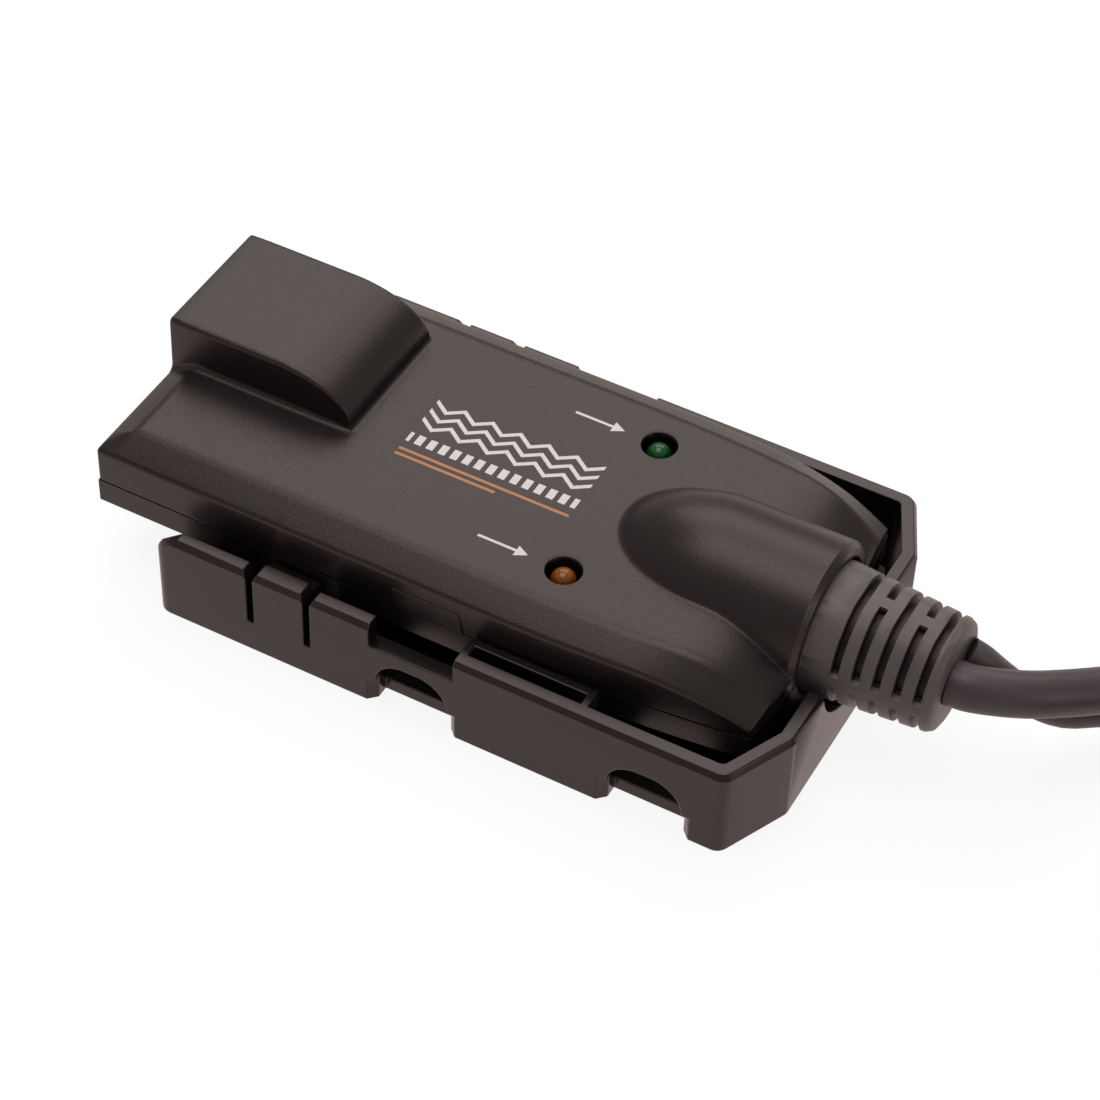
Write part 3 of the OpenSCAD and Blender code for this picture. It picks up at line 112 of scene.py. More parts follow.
class Finish:
    """A material with one Principled shader. Constants are set on the shader's own sockets."""

    def __init__(self, name, colour, **constants):
        self.material = bpy.data.materials.new(name)
        self.material.use_nodes = True
        self.tree = self.material.node_tree
        self.tree.nodes.clear()
        self.shader = self.tree.nodes.new("ShaderNodeBsdfPrincipled")
        self.output = self.tree.nodes.new("ShaderNodeOutputMaterial")
        self.tree.links.new(self.shader.outputs[0], self.output.inputs[0])
        self.shader.inputs["Base Color"].default_value = (*colour, 1)
        for key, value in constants.items():
            socket_name = key.replace("_", " ").title().replace("Ior", "IOR")
            self.shader.inputs[socket_name].default_value = value
        self.material.diffuse_color = (*colour, 1)

    def node(self, kind, settings, values, out=0):
        """Adds a node of this kind. Settings come first, then the values or wires of its sockets."""
        made = self.tree.nodes.new(kind)
        for key, value in settings.items():
            setattr(made, key, value)
        for key, value in values.items():
            if isinstance(value, Wire):
                self.tree.links.new(value.socket, made.inputs[key])
            else:
                made.inputs[key].default_value = value
        return Wire(self, made.outputs[out])

    def feed(self, key, wire):
        self.tree.links.new(wire.socket, self.shader.inputs[key])

    def place(self, stretch=(1, 1, 1)):
        """Object coordinates, in metres. A stretch below 1 draws a pattern out along its axis."""
        spot = self.node("ShaderNodeTexCoord", {}, {}, "Object")
        return self.node("ShaderNodeMapping", {}, {"Vector": spot, "Scale": stretch})

    def coordinates(self, spot):
        """The three coordinates of a place, each as a wire of its own."""
        first = self.node("ShaderNodeSeparateXYZ", {}, {0: spot})
        return [Wire(self, end) for end in first.socket.node.outputs]

    def noise(self, spot, grains_per_m, detail=3.0, rough=0.55):
        values = {"Vector": spot, "Scale": grains_per_m, "Detail": detail, "Roughness": rough}
        return self.node("ShaderNodeTexNoise", {}, values)

    def between(self, share, low, high):
        """A number that goes from low to high as the share goes from 0.25 to 0.75."""
        values = {"Value": share, "From Min": 0.25, "From Max": 0.75, "To Min": low, "To Max": high}
        return self.node("ShaderNodeMapRange", {}, values)

    def mix(self, share, low, high):
        """Colour low where the share is 0 and colour high where it is 1."""
        ends = [c if isinstance(c, Wire) else (*c, 1) for c in (low, high)]
        values = {0: share, 6: ends[0], 7: ends[1]}
        return self.node("ShaderNodeMix", {"data_type": "RGBA"}, values, 2)

    def relief(self, height, depth):
        """The surface's direction where it is raised by the height, from 0 to 1, times the depth."""
        return self.node("ShaderNodeBump", {}, {"Height": height, "Distance": depth, "Strength": 1.0})


def linear(red, green, blue):
    """The light that a screen colour from 0 to 255 stands for: a part of it in the darkest tones, and a
    power of it above them."""
    share = np.array((red, green, blue)) / 255
    light = np.where(share <= 0.04045, share / 12.92, ((share + 0.055) / 1.055) ** 2.4)
    return tuple(float(v) for v in light)


# Light: two wide soft lamps above the case, the larger behind it, a small one beside it, and a dim room.
# The camera sees a white room. What the plastics mirror of it is dimmer and warmer, so that they stay dark.
lamp_colour = (1, 0.95, 0.93)
lamps = [
    ("key_lamp", (-0.22, 0.62, 0.66), (0.90, 0.50), 3.0),
    ("side_lamp", (0.80, -0.05, 0.26), (0.24, 0.24), 0.5),
    ("high_lamp", (-0.10, 0.00, 1.00), (0.70, 0.70), 4.0),
]
for name, place, size, watts in lamps:
    light = bpy.data.lights.new(name, "AREA")
    light.shape = "RECTANGLE"
    light.size, light.size_y = size
    light.energy = watts
    light.color = lamp_colour
    lamp = bpy.data.objects.new(name, light)
    lamp.location = place
    lamp.rotation_euler = (-Vector(place)).to_track_quat("-Z", "Y").to_euler()
    bpy.context.scene.collection.objects.link(lamp)

room_light, room_colour = 0.10, (1, 0.99, 0.985, 1)
seen_colour, mirrored_colour = (1, 1, 1, 1), (0.38, 0.34, 0.33, 1)
world = bpy.data.worlds.new("room")
bpy.context.scene.world = world
world.use_nodes = True
world.node_tree.nodes.clear()
add_node, add_link = world.node_tree.nodes.new, world.node_tree.links.new
rays = add_node("ShaderNodeLightPath")
seen, shown = add_node("ShaderNodeMath"), add_node("ShaderNodeMath")
seen.operation = shown.operation = "MAXIMUM"
backdrop = add_node("ShaderNodeBackground")
even_light = add_node("ShaderNodeBackground")
even_light.inputs["Color"].default_value = room_colour
even_light.inputs["Strength"].default_value = room_light
backdrop_colour = add_node("ShaderNodeMix")
backdrop_colour.data_type = "RGBA"
backdrop_colour.inputs[6].default_value = mirrored_colour
backdrop_colour.inputs[7].default_value = seen_colour
choice = add_node("ShaderNodeMixShader")
world_output = add_node("ShaderNodeOutputWorld")
add_link(rays.outputs["Is Camera Ray"], seen.inputs[0])
add_link(rays.outputs["Is Transmission Ray"], seen.inputs[1])
add_link(seen.outputs[0], shown.inputs[0])
add_link(rays.outputs["Is Glossy Ray"], shown.inputs[1])
add_link(seen.outputs[0], backdrop_colour.inputs[0])
add_link(backdrop_colour.outputs[2], backdrop.inputs["Color"])
add_link(shown.outputs[0], choice.inputs[0])
add_link(even_light.outputs[0], choice.inputs[1])
add_link(backdrop.outputs[0], choice.inputs[2])
add_link(choice.outputs[0], world_output.inputs[0])
bpy.context.scene.view_settings.view_transform = "Standard"

# Floor: a plain white sheet. The camera sees mostly its own white, so that only a soft shadow stays, and
# from 0.7 m on nothing but that white. The plastics mirror a warmer one.
floor_half = 3.0
floor_white = 0.82
glow_strength, glow_seen, glow_mirrored = 1.2, (1, 1, 1), (0.84, 0.7, 0.66)
own_white_near, own_white_gain, own_white_mirrored = 0.74, 0.26, 0.8
fade_start, fade_per_m = 0.3, 2.5
floor_mesh = bpy.data.meshes.new("floor")
corners = np.array([(-1, -1, 0), (1, -1, 0), (1, 1, 0), (-1, 1, 0)]) * floor_half
floor_mesh.from_pydata(corners.tolist(), [], [(0, 1, 2, 3)])
floor = bpy.data.objects.new("floor", floor_mesh)
bpy.context.scene.collection.objects.link(floor)
white_floor = Finish("white_floor", (floor_white, floor_white, floor_white), roughness=0.9)
straight = white_floor.node("ShaderNodeLightPath", {}, {}, "Is Camera Ray")
mirrored = white_floor.node("ShaderNodeLightPath", {}, {}, "Is Glossy Ray")
spot = white_floor.place()
distance = white_floor.node("ShaderNodeVectorMath", {"operation": "LENGTH"}, {0: spot}, "Value")
far_off = ((distance - fade_start) * fade_per_m).clip()
own_white = straight * (far_off * own_white_gain + own_white_near) + mirrored * own_white_mirrored
glow_colour = white_floor.mix(mirrored, glow_seen, glow_mirrored)
glow_values = {"Color": glow_colour, "Strength": glow_strength}
glow = white_floor.node("ShaderNodeEmission", {}, glow_values)
painted = Wire(white_floor, white_floor.shader.outputs[0])
blend = white_floor.node("ShaderNodeMixShader", {}, {0: own_white, 1: painted, 2: glow})
white_floor.tree.links.new(blend.socket, white_floor.output.inputs[0])
floor_mesh.materials.append(white_floor.material)


# Leads: two round leads with a soft grey jacket leave the boot together, drop to the table and lie in one
# tied turn behind the case; the thick one ends in the VGA plug and the thin one in the USB plug.
# The routes repeat the part's own points, in millimetres from the socket end of the case.
origin_shift = 53.95
boot_end = 107.9
turn_middle = 170.0
thick_lead, thin_lead = 5.8, 4.2
thick_turn, thin_turn = 31.5, 26.0
thick_low, thin_low = 3.5, 2.7
thick_climb, thin_climb = 6.3, 6.2


def in_metres(points):
    """Millimetres from the socket end of the case, as metres in the shared frame."""
    return (np.asarray(points, float) - (origin_shift, 0, 0)) / 1000


def one_turn(radius, low, climb):
    """A clockwise circle seen from above that starts and ends at its far side and rises smoothly over its
    own start: the rise follows 3t2 - 2t3, where t goes from 0 to 1 between 180 and 300 degrees."""
    angle = np.radians(np.arange(0, 361, 15))
    t = np.clip((np.degrees(angle) - 180) / 120, 0, 1)
    height = low + climb * t * t * (3 - 2 * t)
    ring = np.stack([turn_middle + radius * np.sin(angle), radius * np.cos(angle), height], 1)
    before = [turn_middle - thick_lead, radius, low]
    after = [turn_middle + thick_lead, radius, low + climb]
    return np.vstack([before, ring, after])


def through(points, steps):
    """A smooth curve through the points: each span is a cubic whose end slopes are half the chord between
    its neighbours, sampled in equal steps."""
    p = np.vstack([2 * points[0] - points[1], points, 2 * points[-1] - points[-2]])
    t = (np.arange(steps) / steps)[None, :, None]
    a, b, c, d = (p[k:len(p) - 3 + k, None, :] for k in range(4))
    curved = (2 * a - 5 * b + 4 * c - d) * t ** 2 + (3 * b - a - 3 * c + d) * t ** 3
    spans = b + ((c - a) * t + curved) / 2
    return np.vstack([spans.reshape(-1, 3), points[-1]])


def new_piece(name, points, faces, finish, smooth=30):
    """A mesh object of these corners and faces, smooth except over edges sharper than the angle."""
    mesh = bpy.data.meshes.new(name)
    mesh.from_pydata(np.asarray(points).tolist(), [], np.asarray(faces).tolist())
    mesh.polygons.foreach_set("use_smooth", np.ones(len(mesh.polygons), bool))
    mesh.set_sharp_from_angle(angle=np.radians(smooth))
    mesh.materials.append(finish.material)
    piece = bpy.data.objects.new(name, mesh)
    bpy.context.scene.collection.objects.link(piece)
    return piece


def ring_faces(rows, sides):
    """Four-cornered faces between rings that follow one another, each with this number of points."""
    row, side = np.meshgrid(np.arange(rows - 1), np.arange(sides), indexing="ij")
    first, second = row * sides + side, row * sides + (side + 1) % sides
    return np.stack([first, second, second + sides, first + sides], -1).reshape(-1, 4)


def tube(name, path, radius, finish, sides=20):
    """The skin of a round lead: each point of the path carries a circle square to it, whose first direction
    stays level, and both ends are closed by a last ring of almost no width."""
    along = np.gradient(path, axis=0)
    along /= np.linalg.norm(along, axis=1)[:, None]
    level = np.cross(along, (0, 0, 1))
    level /= np.linalg.norm(level, axis=1)[:, None]
    upward = np.cross(level, along)
    widths = np.r_[0.02, np.ones(len(path)), 0.02] * radius
    spine = np.vstack([path[:1], path, path[-1:]])
    level, upward = (np.vstack([v[:1], v, v[-1:]]) for v in (level, upward))
    angle = np.linspace(0, 2 * np.pi, sides, endpoint=False)[None, :, None]
    rings = np.cos(angle) * level[:, None] + np.sin(angle) * upward[:, None]
    points = (spine[:, None] + widths[:, None, None] * rings).reshape(-1, 3)
    return new_piece(name, points, ring_faces(len(spine), sides), finish, smooth=60)


jacket_gloss = (1, 0.9, 0.9, 1)
jacket_constants = {"roughness": 0.42, "ior": 1.48, "specular_tint": jacket_gloss}
lead_jacket = Finish("lead_jacket", linear(80, 74, 77), **jacket_constants)
spot = lead_jacket.place()
cloud = lead_jacket.noise(spot, grains_per_m=90, detail=2)
fine = lead_jacket.noise(spot, grains_per_m=2600, detail=2)
jacket_shade = lead_jacket.mix(lead_jacket.between(cloud, 0, 1), linear(76, 69, 71), linear(90, 82, 84))
lead_jacket.feed("Base Color", jacket_shade)
lead_jacket.feed("Roughness", lead_jacket.between(fine, 0.36, 0.5))
lead_jacket.feed("Normal", lead_jacket.relief(fine, depth=0.00002))

thick_exit, thin_exit = [boot_end, -1.5, 15.5], [boot_end, 3.7, 15.6]
thick_plug, thin_plug = [205, 24, 7.25], [220, -2, 4]
thick_near = [[110.7, -1.1, 15.4], [116, 2, 14.4], [121, 7.2, 12.5], [127.5, 14.8, 9.9], [134, 20.2, 7.9],
              [141, 24.6, 5.4], [150, 28.6, 3.8], [158, 31, 3.5]]
thin_near = [[109.4, 4, 14.8], [112, 5, 12.2], [115.5, 6.2, 9.4], [119.5, 8.3, 7.2], [123.5, 12.4, 5.6],
             [128.5, 16.4, 3.8], [135, 17.6, 2.9], [142, 18.9, 2.7], [150, 22.1, 2.7], [157.5, 25.2, 2.7]]
thick_far = [[184, 30.9, 9.8], [192, 27.9, 9.2], [199, 25, 7.9]]
thin_far = [[182, 25.5, 9.2], [190, 22, 9.4], [198, 15.4, 9.2], [206, 7, 7.4], [213.5, 0.6, 5]]
thick_turns = one_turn(thick_turn, thick_low, thick_climb)
thin_turns = one_turn(thin_turn, thin_low, thin_climb)
thick_points = np.vstack([thick_exit, thick_near, thick_turns, thick_far, thick_plug])
thin_points = np.vstack([thin_exit, thin_near, thin_turns, thin_far, thin_plug])
thick_route = in_metres(through(thick_points, steps=4))
thin_route = in_metres(through(thin_points, steps=4))
vga_cable = tube("vga_cable", thick_route, thick_lead / 2000, lead_jacket)
usb_cable = tube("usb_cable", thin_route, thin_lead / 2000, lead_jacket)
for cable, nodes in ((vga_cable, ("vga_lead", "vga_coil", "vga_tail")),
                     (usb_cable, ("usb_lead", "usb_coil", "usb_tail"))):
    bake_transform(cable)
    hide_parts(*nodes)

# Inner leads: the last stretch of both leads runs straight through the boot and the clamp to the board.
# It has the same jacket, and moves with the case.
for name, node, start, width in (("vga_inner_cable", "vga_inner_lead", thick_exit, thick_lead),
                                 ("usb_inner_cable", "usb_inner_lead", thin_exit, thin_lead)):
    outer_end = in_metres(start)
    inner_end = [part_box(node)[0].x, outer_end[1], outer_end[2]]
    inner = tube(name, np.linspace(inner_end, outer_end, num=12), width / 2000, lead_jacket)
    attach(inner, "adapter")
    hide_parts(node)


def from_cad(name, node, body, finish, rounding, steps=2, angle=40):
    """A copy of a CAD piece with its loose triangles joined, its flat faces merged and edges rounded."""
    shape = bmesh.new()
    shape.from_mesh(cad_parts[node].data)
    bmesh.ops.remove_doubles(shape, verts=shape.verts, dist=0.000002)
    bmesh.ops.dissolve_degenerate(shape, edges=shape.edges, dist=0.000002)
    bmesh.ops.dissolve_limit(shape, angle_limit=np.radians(0.8), verts=shape.verts, edges=shape.edges)
    mesh = bpy.data.meshes.new(name)
    shape.to_mesh(mesh)
    shape.free()
    mesh.polygons.foreach_set("use_smooth", np.ones(len(mesh.polygons), bool))
    mesh.set_sharp_from_angle(angle=np.radians(32))
    mesh.materials.append(finish.material)
    piece = bpy.data.objects.new(name, mesh)
    bpy.context.scene.collection.objects.link(piece)
    edge = piece.modifiers.new("edge_rounding", "BEVEL")
    edge.width = rounding
    edge.segments = steps
    edge.limit_method = "ANGLE"
    edge.angle_limit = np.radians(angle)
    edge.use_clamp_overlap = True
    edge.harden_normals = True
    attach(piece, body)
    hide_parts(node)
    return piece


# Holder: an open tray moulded in black plastic, satin from the mould, with snap fingers that stand beside
# the case, arches for straps and a round cut for the boot. Fine pale specks lie on it.
warm_gloss = (1, 0.88, 0.87, 1)
holder_constants = {"roughness": 0.34, "ior": 1.5, "specular_tint": warm_gloss}
holder_plastic = Finish("holder_plastic", linear(26, 22, 22), **holder_constants)
spot = holder_plastic.place()
cloud = holder_plastic.noise(spot, grains_per_m=60, detail=3)
fine = holder_plastic.noise(spot, grains_per_m=3500, detail=2)
speck_radius = 0.045
speck_cells = holder_plastic.node("ShaderNodeTexVoronoi", {}, {"Vector": spot, "Scale": 420.0}, "Distance")
specks = speck_cells < speck_radius
darker, lighter = linear(23, 19, 19), linear(30, 26, 25)
holder_shade = holder_plastic.mix(holder_plastic.between(cloud, 0, 1), darker, lighter)
holder_plastic.feed("Base Color", holder_plastic.mix(specks * 0.5, holder_shade, linear(84, 77, 75)))
holder_plastic.feed("Roughness", holder_plastic.between(cloud, 0.2, 0.3))
holder_plastic.feed("Normal", holder_plastic.relief(fine, depth=0.000006))
from_cad("holder_tray", "holder", "holder_and_leads", holder_plastic, rounding=0.00025)

# Case plastic: the black plastic of both covers, with a fine eroded texture from the mould.
# It is a little duller than the holder, and warm in its gloss.
case_plastic = Finish("case_plastic", linear(28, 25, 24), roughness=0.5, ior=1.5, specular_tint=warm_gloss)
spot = case_plastic.place()
grain = case_plastic.noise(spot, grains_per_m=3200, detail=3, rough=0.6)
cloud = case_plastic.noise(spot, grains_per_m=45, detail=3)
case_shade = case_plastic.mix(case_plastic.between(cloud, 0, 1), linear(25, 22, 21), linear(32, 28, 27))
case_plastic.feed("Roughness", case_plastic.between(grain, 0.3, 0.42))
case_plastic.feed("Normal", case_plastic.relief(grain, depth=0.000022))

# Print: white and orange ink on the flat top: a band of three folded stripes, a row of slats, two lines and
# an arrow that points at each lamp. All is in metres, and a half width lies to both sides of its middle.
# The folded stripes are even stripes in a coordinate that rises and falls along the case.
print_floor = 0.0199
band_start, band_middle, band_half = -0.0204, -0.0084, 0.012
fold_length, fold_slope = 0.002, 0.7
stripe_pitch, stripe_half, stripes_middle, stripes_half = 0.0009, 0.00034, 0.0036, 0.0025
slats_middle, slats_half, slat_pitch, slat_half = -0.0019, 0.00085, 0.00085, 0.0005
long_line, short_line, line_half, short_line_end = -0.0042, -0.0052, 0.00022, -0.0062
arrow_aside = 0.0125
shaft_middle, shaft_length_half, shaft_half = -0.0017, 0.0027, 0.0002
head_foot, head_level, head_half, head_slope = 0.0009, 0.001, 0.00085, 0.55
along, sideways, high = case_plastic.coordinates(spot)
on_plate = high > print_floor
in_band = on_plate * (abs(along - band_middle) < band_half)
fold = (along - band_start).math("PINGPONG", fold_length) * fold_slope
folded = sideways + fold
in_stripes = abs(folded - stripes_middle) < stripes_half
stripes = (folded.math("PINGPONG", stripe_pitch) < stripe_half) * in_stripes
slat_places = (along - band_start).math("PINGPONG", slat_pitch) < slat_half
slats = (abs(sideways - slats_middle) < slats_half) * slat_places
short_part = (abs(sideways - short_line) < line_half) * (along < short_line_end)
thin_lines = (abs(sideways - long_line) < line_half) + short_part
from_arrow = abs(abs(sideways) - arrow_aside)
shaft = (from_arrow < shaft_half) * (abs(along - shaft_middle) < shaft_length_half)
head = (from_arrow + (along - head_level) * head_slope < head_half) * (along > head_foot)
white_mark = ((stripes + slats) * in_band + (shaft + head) * on_plate).clip()
orange_mark = (thin_lines * in_band).clip()
inked = case_plastic.mix(white_mark, case_shade, linear(248, 245, 242))
case_plastic.feed("Base Color", case_plastic.mix(orange_mark, inked, linear(206, 132, 76)))

# Bottom cover: a shallow tub of the case plastic below the seam, screwed to the top cover from below.
# Only its rim and its walls show beside the holder.
from_cad("bottom_tub", "bottom_cover", "adapter", case_plastic, rounding=0.00015)

# Top cover: one moulded shell with a bevel round its top, a box-shaped bump over the network socket, which
# falls away in a quarter round, and a half-round hump over the boot. It is one surface over a grid of
# stations along the case and lines across it, in millimetres from the socket end; case_plastic covers it.
case_length, case_half = 91.3, 21.85
seam, shoulder, top = 13.0, 18.0, 20.1
bevel, crease_reach, shoulder_reach = 3.8, 0.7, 0.55
seam_step, wall_line_drop = 0.12, 0.2
bump_low_y, bump_high_y = -4.74, 15.06
bump_top, bump_flat, bump_fall, bump_foot = 26.6, 16.0, 10.8, 0.5
foot_round, top_round, wall_lean = 0.9, 0.65, 0.15
near_lip, far_lip = 0.5, 0.3
foot_stations, foot_heights = np.array([26.87, 27.0, 27.25, 27.7]), np.array([0.3, 0.13, 0.04, 0])
socket_low_y, socket_high_y, socket_top = -2.94, 13.26, 24.9
taper_start, taper_radius = 56.5, 245.0
dip_start, dip_radius = 78.6, 16.7
shoulder_dip_start, shoulder_dip_radius = 72.9, 43.8
nose_flat, nose_half, nose_sweep, sweep_start = 11.0, 19.52, 1.0, 84.0
nose_edge, nose_edge_drop = 0.7, 0.45
hump_radius, hump_axis, hump_start, hump_nose, hump_edge = 10.8, 14.8, 61.4, 15.5, 0.7
hump_turn, hump_softness = 88, 0.55
lines_turn_from, lines_turn_over = 28, 24
boot_hole, boot_hole_turn = 8.95, 101.6
corner_radius = 0.6
lamp_spot, lamp_aside, lamp_hole = 61.4, 12.5, 2.25


def side_of(x):
    """Half the width of the case at x: straight, then a long arc that draws the nose in, as the square of
    the way past its start over twice its radius."""
    return case_half - np.maximum(0, x - taper_start) ** 2 / (2 * taper_radius)


def nose_line(y):
    """Where the nose ends at this y: straight over its flat middle, then swept back in proportion."""
    return case_length - np.clip((np.abs(y) - nose_flat) / (nose_half - nose_flat), 0, 1) * nose_sweep


def edge_profile(low, corner, high):
    """How the case rises from its edge: up the wall, round the shoulder, up the bevel and over its crease,
    as distance from the edge and height. Each round stretch is a parabola: its first point, its corner and
    its last point, weighted with the squares and the doubled product of t and 1 - t."""
    t = np.array([0.0, 0.3, 0.65, 1.0])[:, None]
    slope = np.array([bevel, high - corner]) / np.hypot(bevel, high - corner)
    start, knee = np.array([0, corner - shoulder_reach]), np.array([0, corner])
    shoulder_arc = start * (1 - t) ** 2 + knee * 2 * t * (1 - t) + (knee + slope * shoulder_reach) * t ** 2
    crease = np.array([bevel, high])
    before, after = crease - slope * crease_reach, crease + (crease_reach, 0)
    crease_arc = before * (1 - t) ** 2 + crease * 2 * t * (1 - t) + after * t ** 2
    wall = np.array([[0, low], [0, low + seam_step], [0, (low + corner) / 2 - wall_line_drop]])
    middle = (shoulder_arc[-1] + crease_arc[0]) / 2
    return np.vstack([wall, shoulder_arc, middle, crease_arc])


end_profile = edge_profile(seam, shoulder, top)
edge_lines = len(end_profile)
arc = np.radians([0, 22.5, 45, 67.5, 90])

# Lines along the case at its socket half, from the near side to the far side: flat, foot of the bump, its
# wall and edge, its top with both sides of the socket's opening, and the same again. Each line carries a
# share of the bump's height.
bump_rise = bump_top - top
bump_side = np.r_[foot_round * (np.sin(arc) - 1), wall_lean + top_round * (1 - np.cos(arc))]
bump_heights = np.r_[foot_round * (1 - np.cos(arc)), bump_rise - top_round + top_round * np.sin(arc)]
bump_share = bump_heights / bump_rise
inner_edge = case_half - bevel - crease_reach
near_flat = np.linspace(-inner_edge, bump_low_y - foot_round, 18)[1:-1]
far_flat = np.linspace(bump_high_y + foot_round, inner_edge, 13)[1:-1]
over_socket = np.linspace(socket_low_y, socket_high_y, 23)
side_span = top_round + wall_lean
socket_lines = np.r_[near_flat, bump_low_y + bump_side, bump_low_y + side_span + near_lip, over_socket,
                     bump_high_y - side_span - far_lip, bump_high_y - bump_side[::-1], far_flat]
socket_share = np.r_[near_flat * 0, bump_share, 1, over_socket * 0 + 1, 1, bump_share[::-1], far_flat * 0]

# Lines at the hump's half: evenly turned about the hump's axis, and beside it evenly spread to the bevel.
line_count = len(socket_lines)
wing_lines = 8
hump_angle = np.radians(np.linspace(-hump_turn, hump_turn, line_count - 2 * wing_lines))
wing_share = np.linspace(0, 1, wing_lines + 2)[1:-1]

# Stations along the case: the end wall and its edge, the bump and its quarter round, the plain middle, the
# hump, and the edge and end wall of the nose.
fall = np.radians(np.arange(0, 91, 5))
nose_round = nose_edge * (1 - np.cos(np.radians([90, 60, 30, 0])))
end_rows = 4
stations = np.r_[end_profile[:, 0], 6, 9, 12.5, bump_flat + bump_fall * np.sin(fall), foot_stations,
                 np.arange(29, 53, 2.0), 53, 55, 57, 58.2, 59.4, 60.4, np.arange(61, 77, 0.45),
                 np.arange(77.2, 90.3, 0.6), case_length - nose_round, np.full(end_rows, case_length)]
station_count = len(stations)
nose_rows = np.arange(station_count - end_rows, station_count)

shoulder_now = shoulder - np.maximum(0, stations - shoulder_dip_start) ** 2 / (2 * shoulder_dip_radius)
top_now = top - np.maximum(0, stations - dip_start) ** 2 / (2 * dip_radius)
profile = np.stack([edge_profile(seam, s, t) for s, t in zip(shoulder_now, top_now)])
half = side_of(np.minimum(stations, case_length - nose_sweep))
flat_half = (half - bevel - crease_reach)[:, None]
hump_now = np.minimum(hump_radius, hump_radius - (stations - (case_length - hump_edge)))[:, None]
turned_in = np.clip((stations - lines_turn_from) / lines_turn_over, 0, 1)[:, None]
wing = (flat_half - hump_now) * wing_share
hump_lines = np.concatenate([wing - flat_half, hump_now * np.sin(hump_angle), wing + hump_now], 1)
inner = socket_lines * (1 - turned_in) + hump_lines * turned_in
near_edge = profile[:, :, 0] - half[:, None]
y = np.concatenate([near_edge, inner, -near_edge[:, ::-1]], 1)
flat_now = np.repeat(profile[:, -1:, 1], line_count, 1)
z = np.concatenate([profile[:, :, 1], flat_now, profile[:, ::-1, 1]], 1)
share = np.r_[np.zeros(edge_lines), socket_share, np.zeros(edge_lines)]

# The bevel at the socket end meets the side bevels in a mitre: the lower of the two heights holds.
end_height = np.r_[end_profile[:, 1], np.full(station_count - edge_lines, np.inf)]
z = np.minimum(z, end_height[:, None])

# The bump: full height, then a quarter round down to its foot. Its upper edge at the end wall is rounded,
# and its side walls are drawn in by up to half a millimetre there.
bump_end = bump_flat + bump_fall
wall_rows, edge_rows = 7, 4
down_x = np.clip((stations - bump_flat) / bump_fall, 0, 1)
bump_now = top + bump_foot + (bump_rise - bump_foot) * np.sqrt(1 - down_x ** 2)
foot_now = np.interp(stations, np.r_[bump_end, foot_stations], top + np.r_[bump_foot, foot_heights])
bump_now = np.where(stations > bump_end + 0.01, foot_now, bump_now)
upper_edge = bump_top - top_round + top_round * np.sin(arc[:edge_rows])
bump_now[:wall_rows] = np.r_[seam, seam + seam_step, socket_top, upper_edge]
bump_now[wall_rows:edge_lines] = bump_top
bump_x = stations[:wall_rows].copy()
bump_x[-edge_rows:] = top_round * (1 - np.cos(arc[:edge_rows]))
has_bump = (stations < foot_stations[-1] + 0.05)[:, None]
z = z + np.where(has_bump, share * (bump_now[:, None] - z), 0)
x = np.repeat(stations[:, None], z.shape[1], 1)
x[:wall_rows] = x[:wall_rows] * (1 - share) + bump_x[:, None] * share
tuck_reach = 0.5
tuck_weight = np.array([0, 0.25, 0.6, 0.85, 1, 1, 0.9, 0.75, 0.5, 0.3])
tuck_lines = np.zeros(len(share))
near_first = edge_lines + len(near_flat)
far_first = edge_lines + line_count - len(far_flat) - len(bump_share)
tuck_lines[near_first:near_first + len(bump_share)] = tuck_weight
tuck_lines[far_first:far_first + len(bump_share)] = -tuck_weight[::-1]
y = y + tuck_lines * tuck_reach * (1 - np.sqrt(1 - np.clip(1 - x / tuck_reach, 0, 1) ** 2))

# The hump: a rounded nose, then a half cylinder. It joins the flat top softly: where the two heights differ
# by less than the softness, the square of what is missing over four times the softness is added to the
# higher one.
nose_share = np.clip((hump_start + hump_nose - stations) / hump_nose, 0, 1)[:, None]
radius = np.minimum(hump_radius * np.sqrt(1 - nose_share ** 2), hump_now)
over = radius ** 2 - y ** 2
far_below = 6
hump_z = np.where(over > 0, hump_axis + np.sqrt(np.maximum(over, 0)), hump_axis - far_below)
gap = np.abs(hump_z - z)
joined = np.maximum(hump_z, z) + np.maximum(hump_softness - gap, 0) ** 2 / (4 * hump_softness)
lines = np.arange(z.shape[1])
on_top = (lines >= edge_lines) & (lines < edge_lines + line_count)
z = np.where((stations[:, None] > hump_start - 3) & on_top, joined, z)

# The nose: its end is swept back a little beside the flat middle, and its upper edge is rounded.
swept = sweep_start + (x - sweep_start) * (nose_line(y) - sweep_start) / (case_length - sweep_start)
x = np.where(stations[:, None] > sweep_start, swept, x)
into_edge = np.clip((stations - (case_length - nose_edge)) / nose_edge, 0, 1)
round_drop = nose_edge_drop * (1 - np.sqrt(1 - into_edge ** 2))
on_hump = (lines >= edge_lines + wing_lines) & (lines < edge_lines + line_count - wing_lines)
z = z - np.where(on_top & ~on_hump, round_drop[:, None], 0)

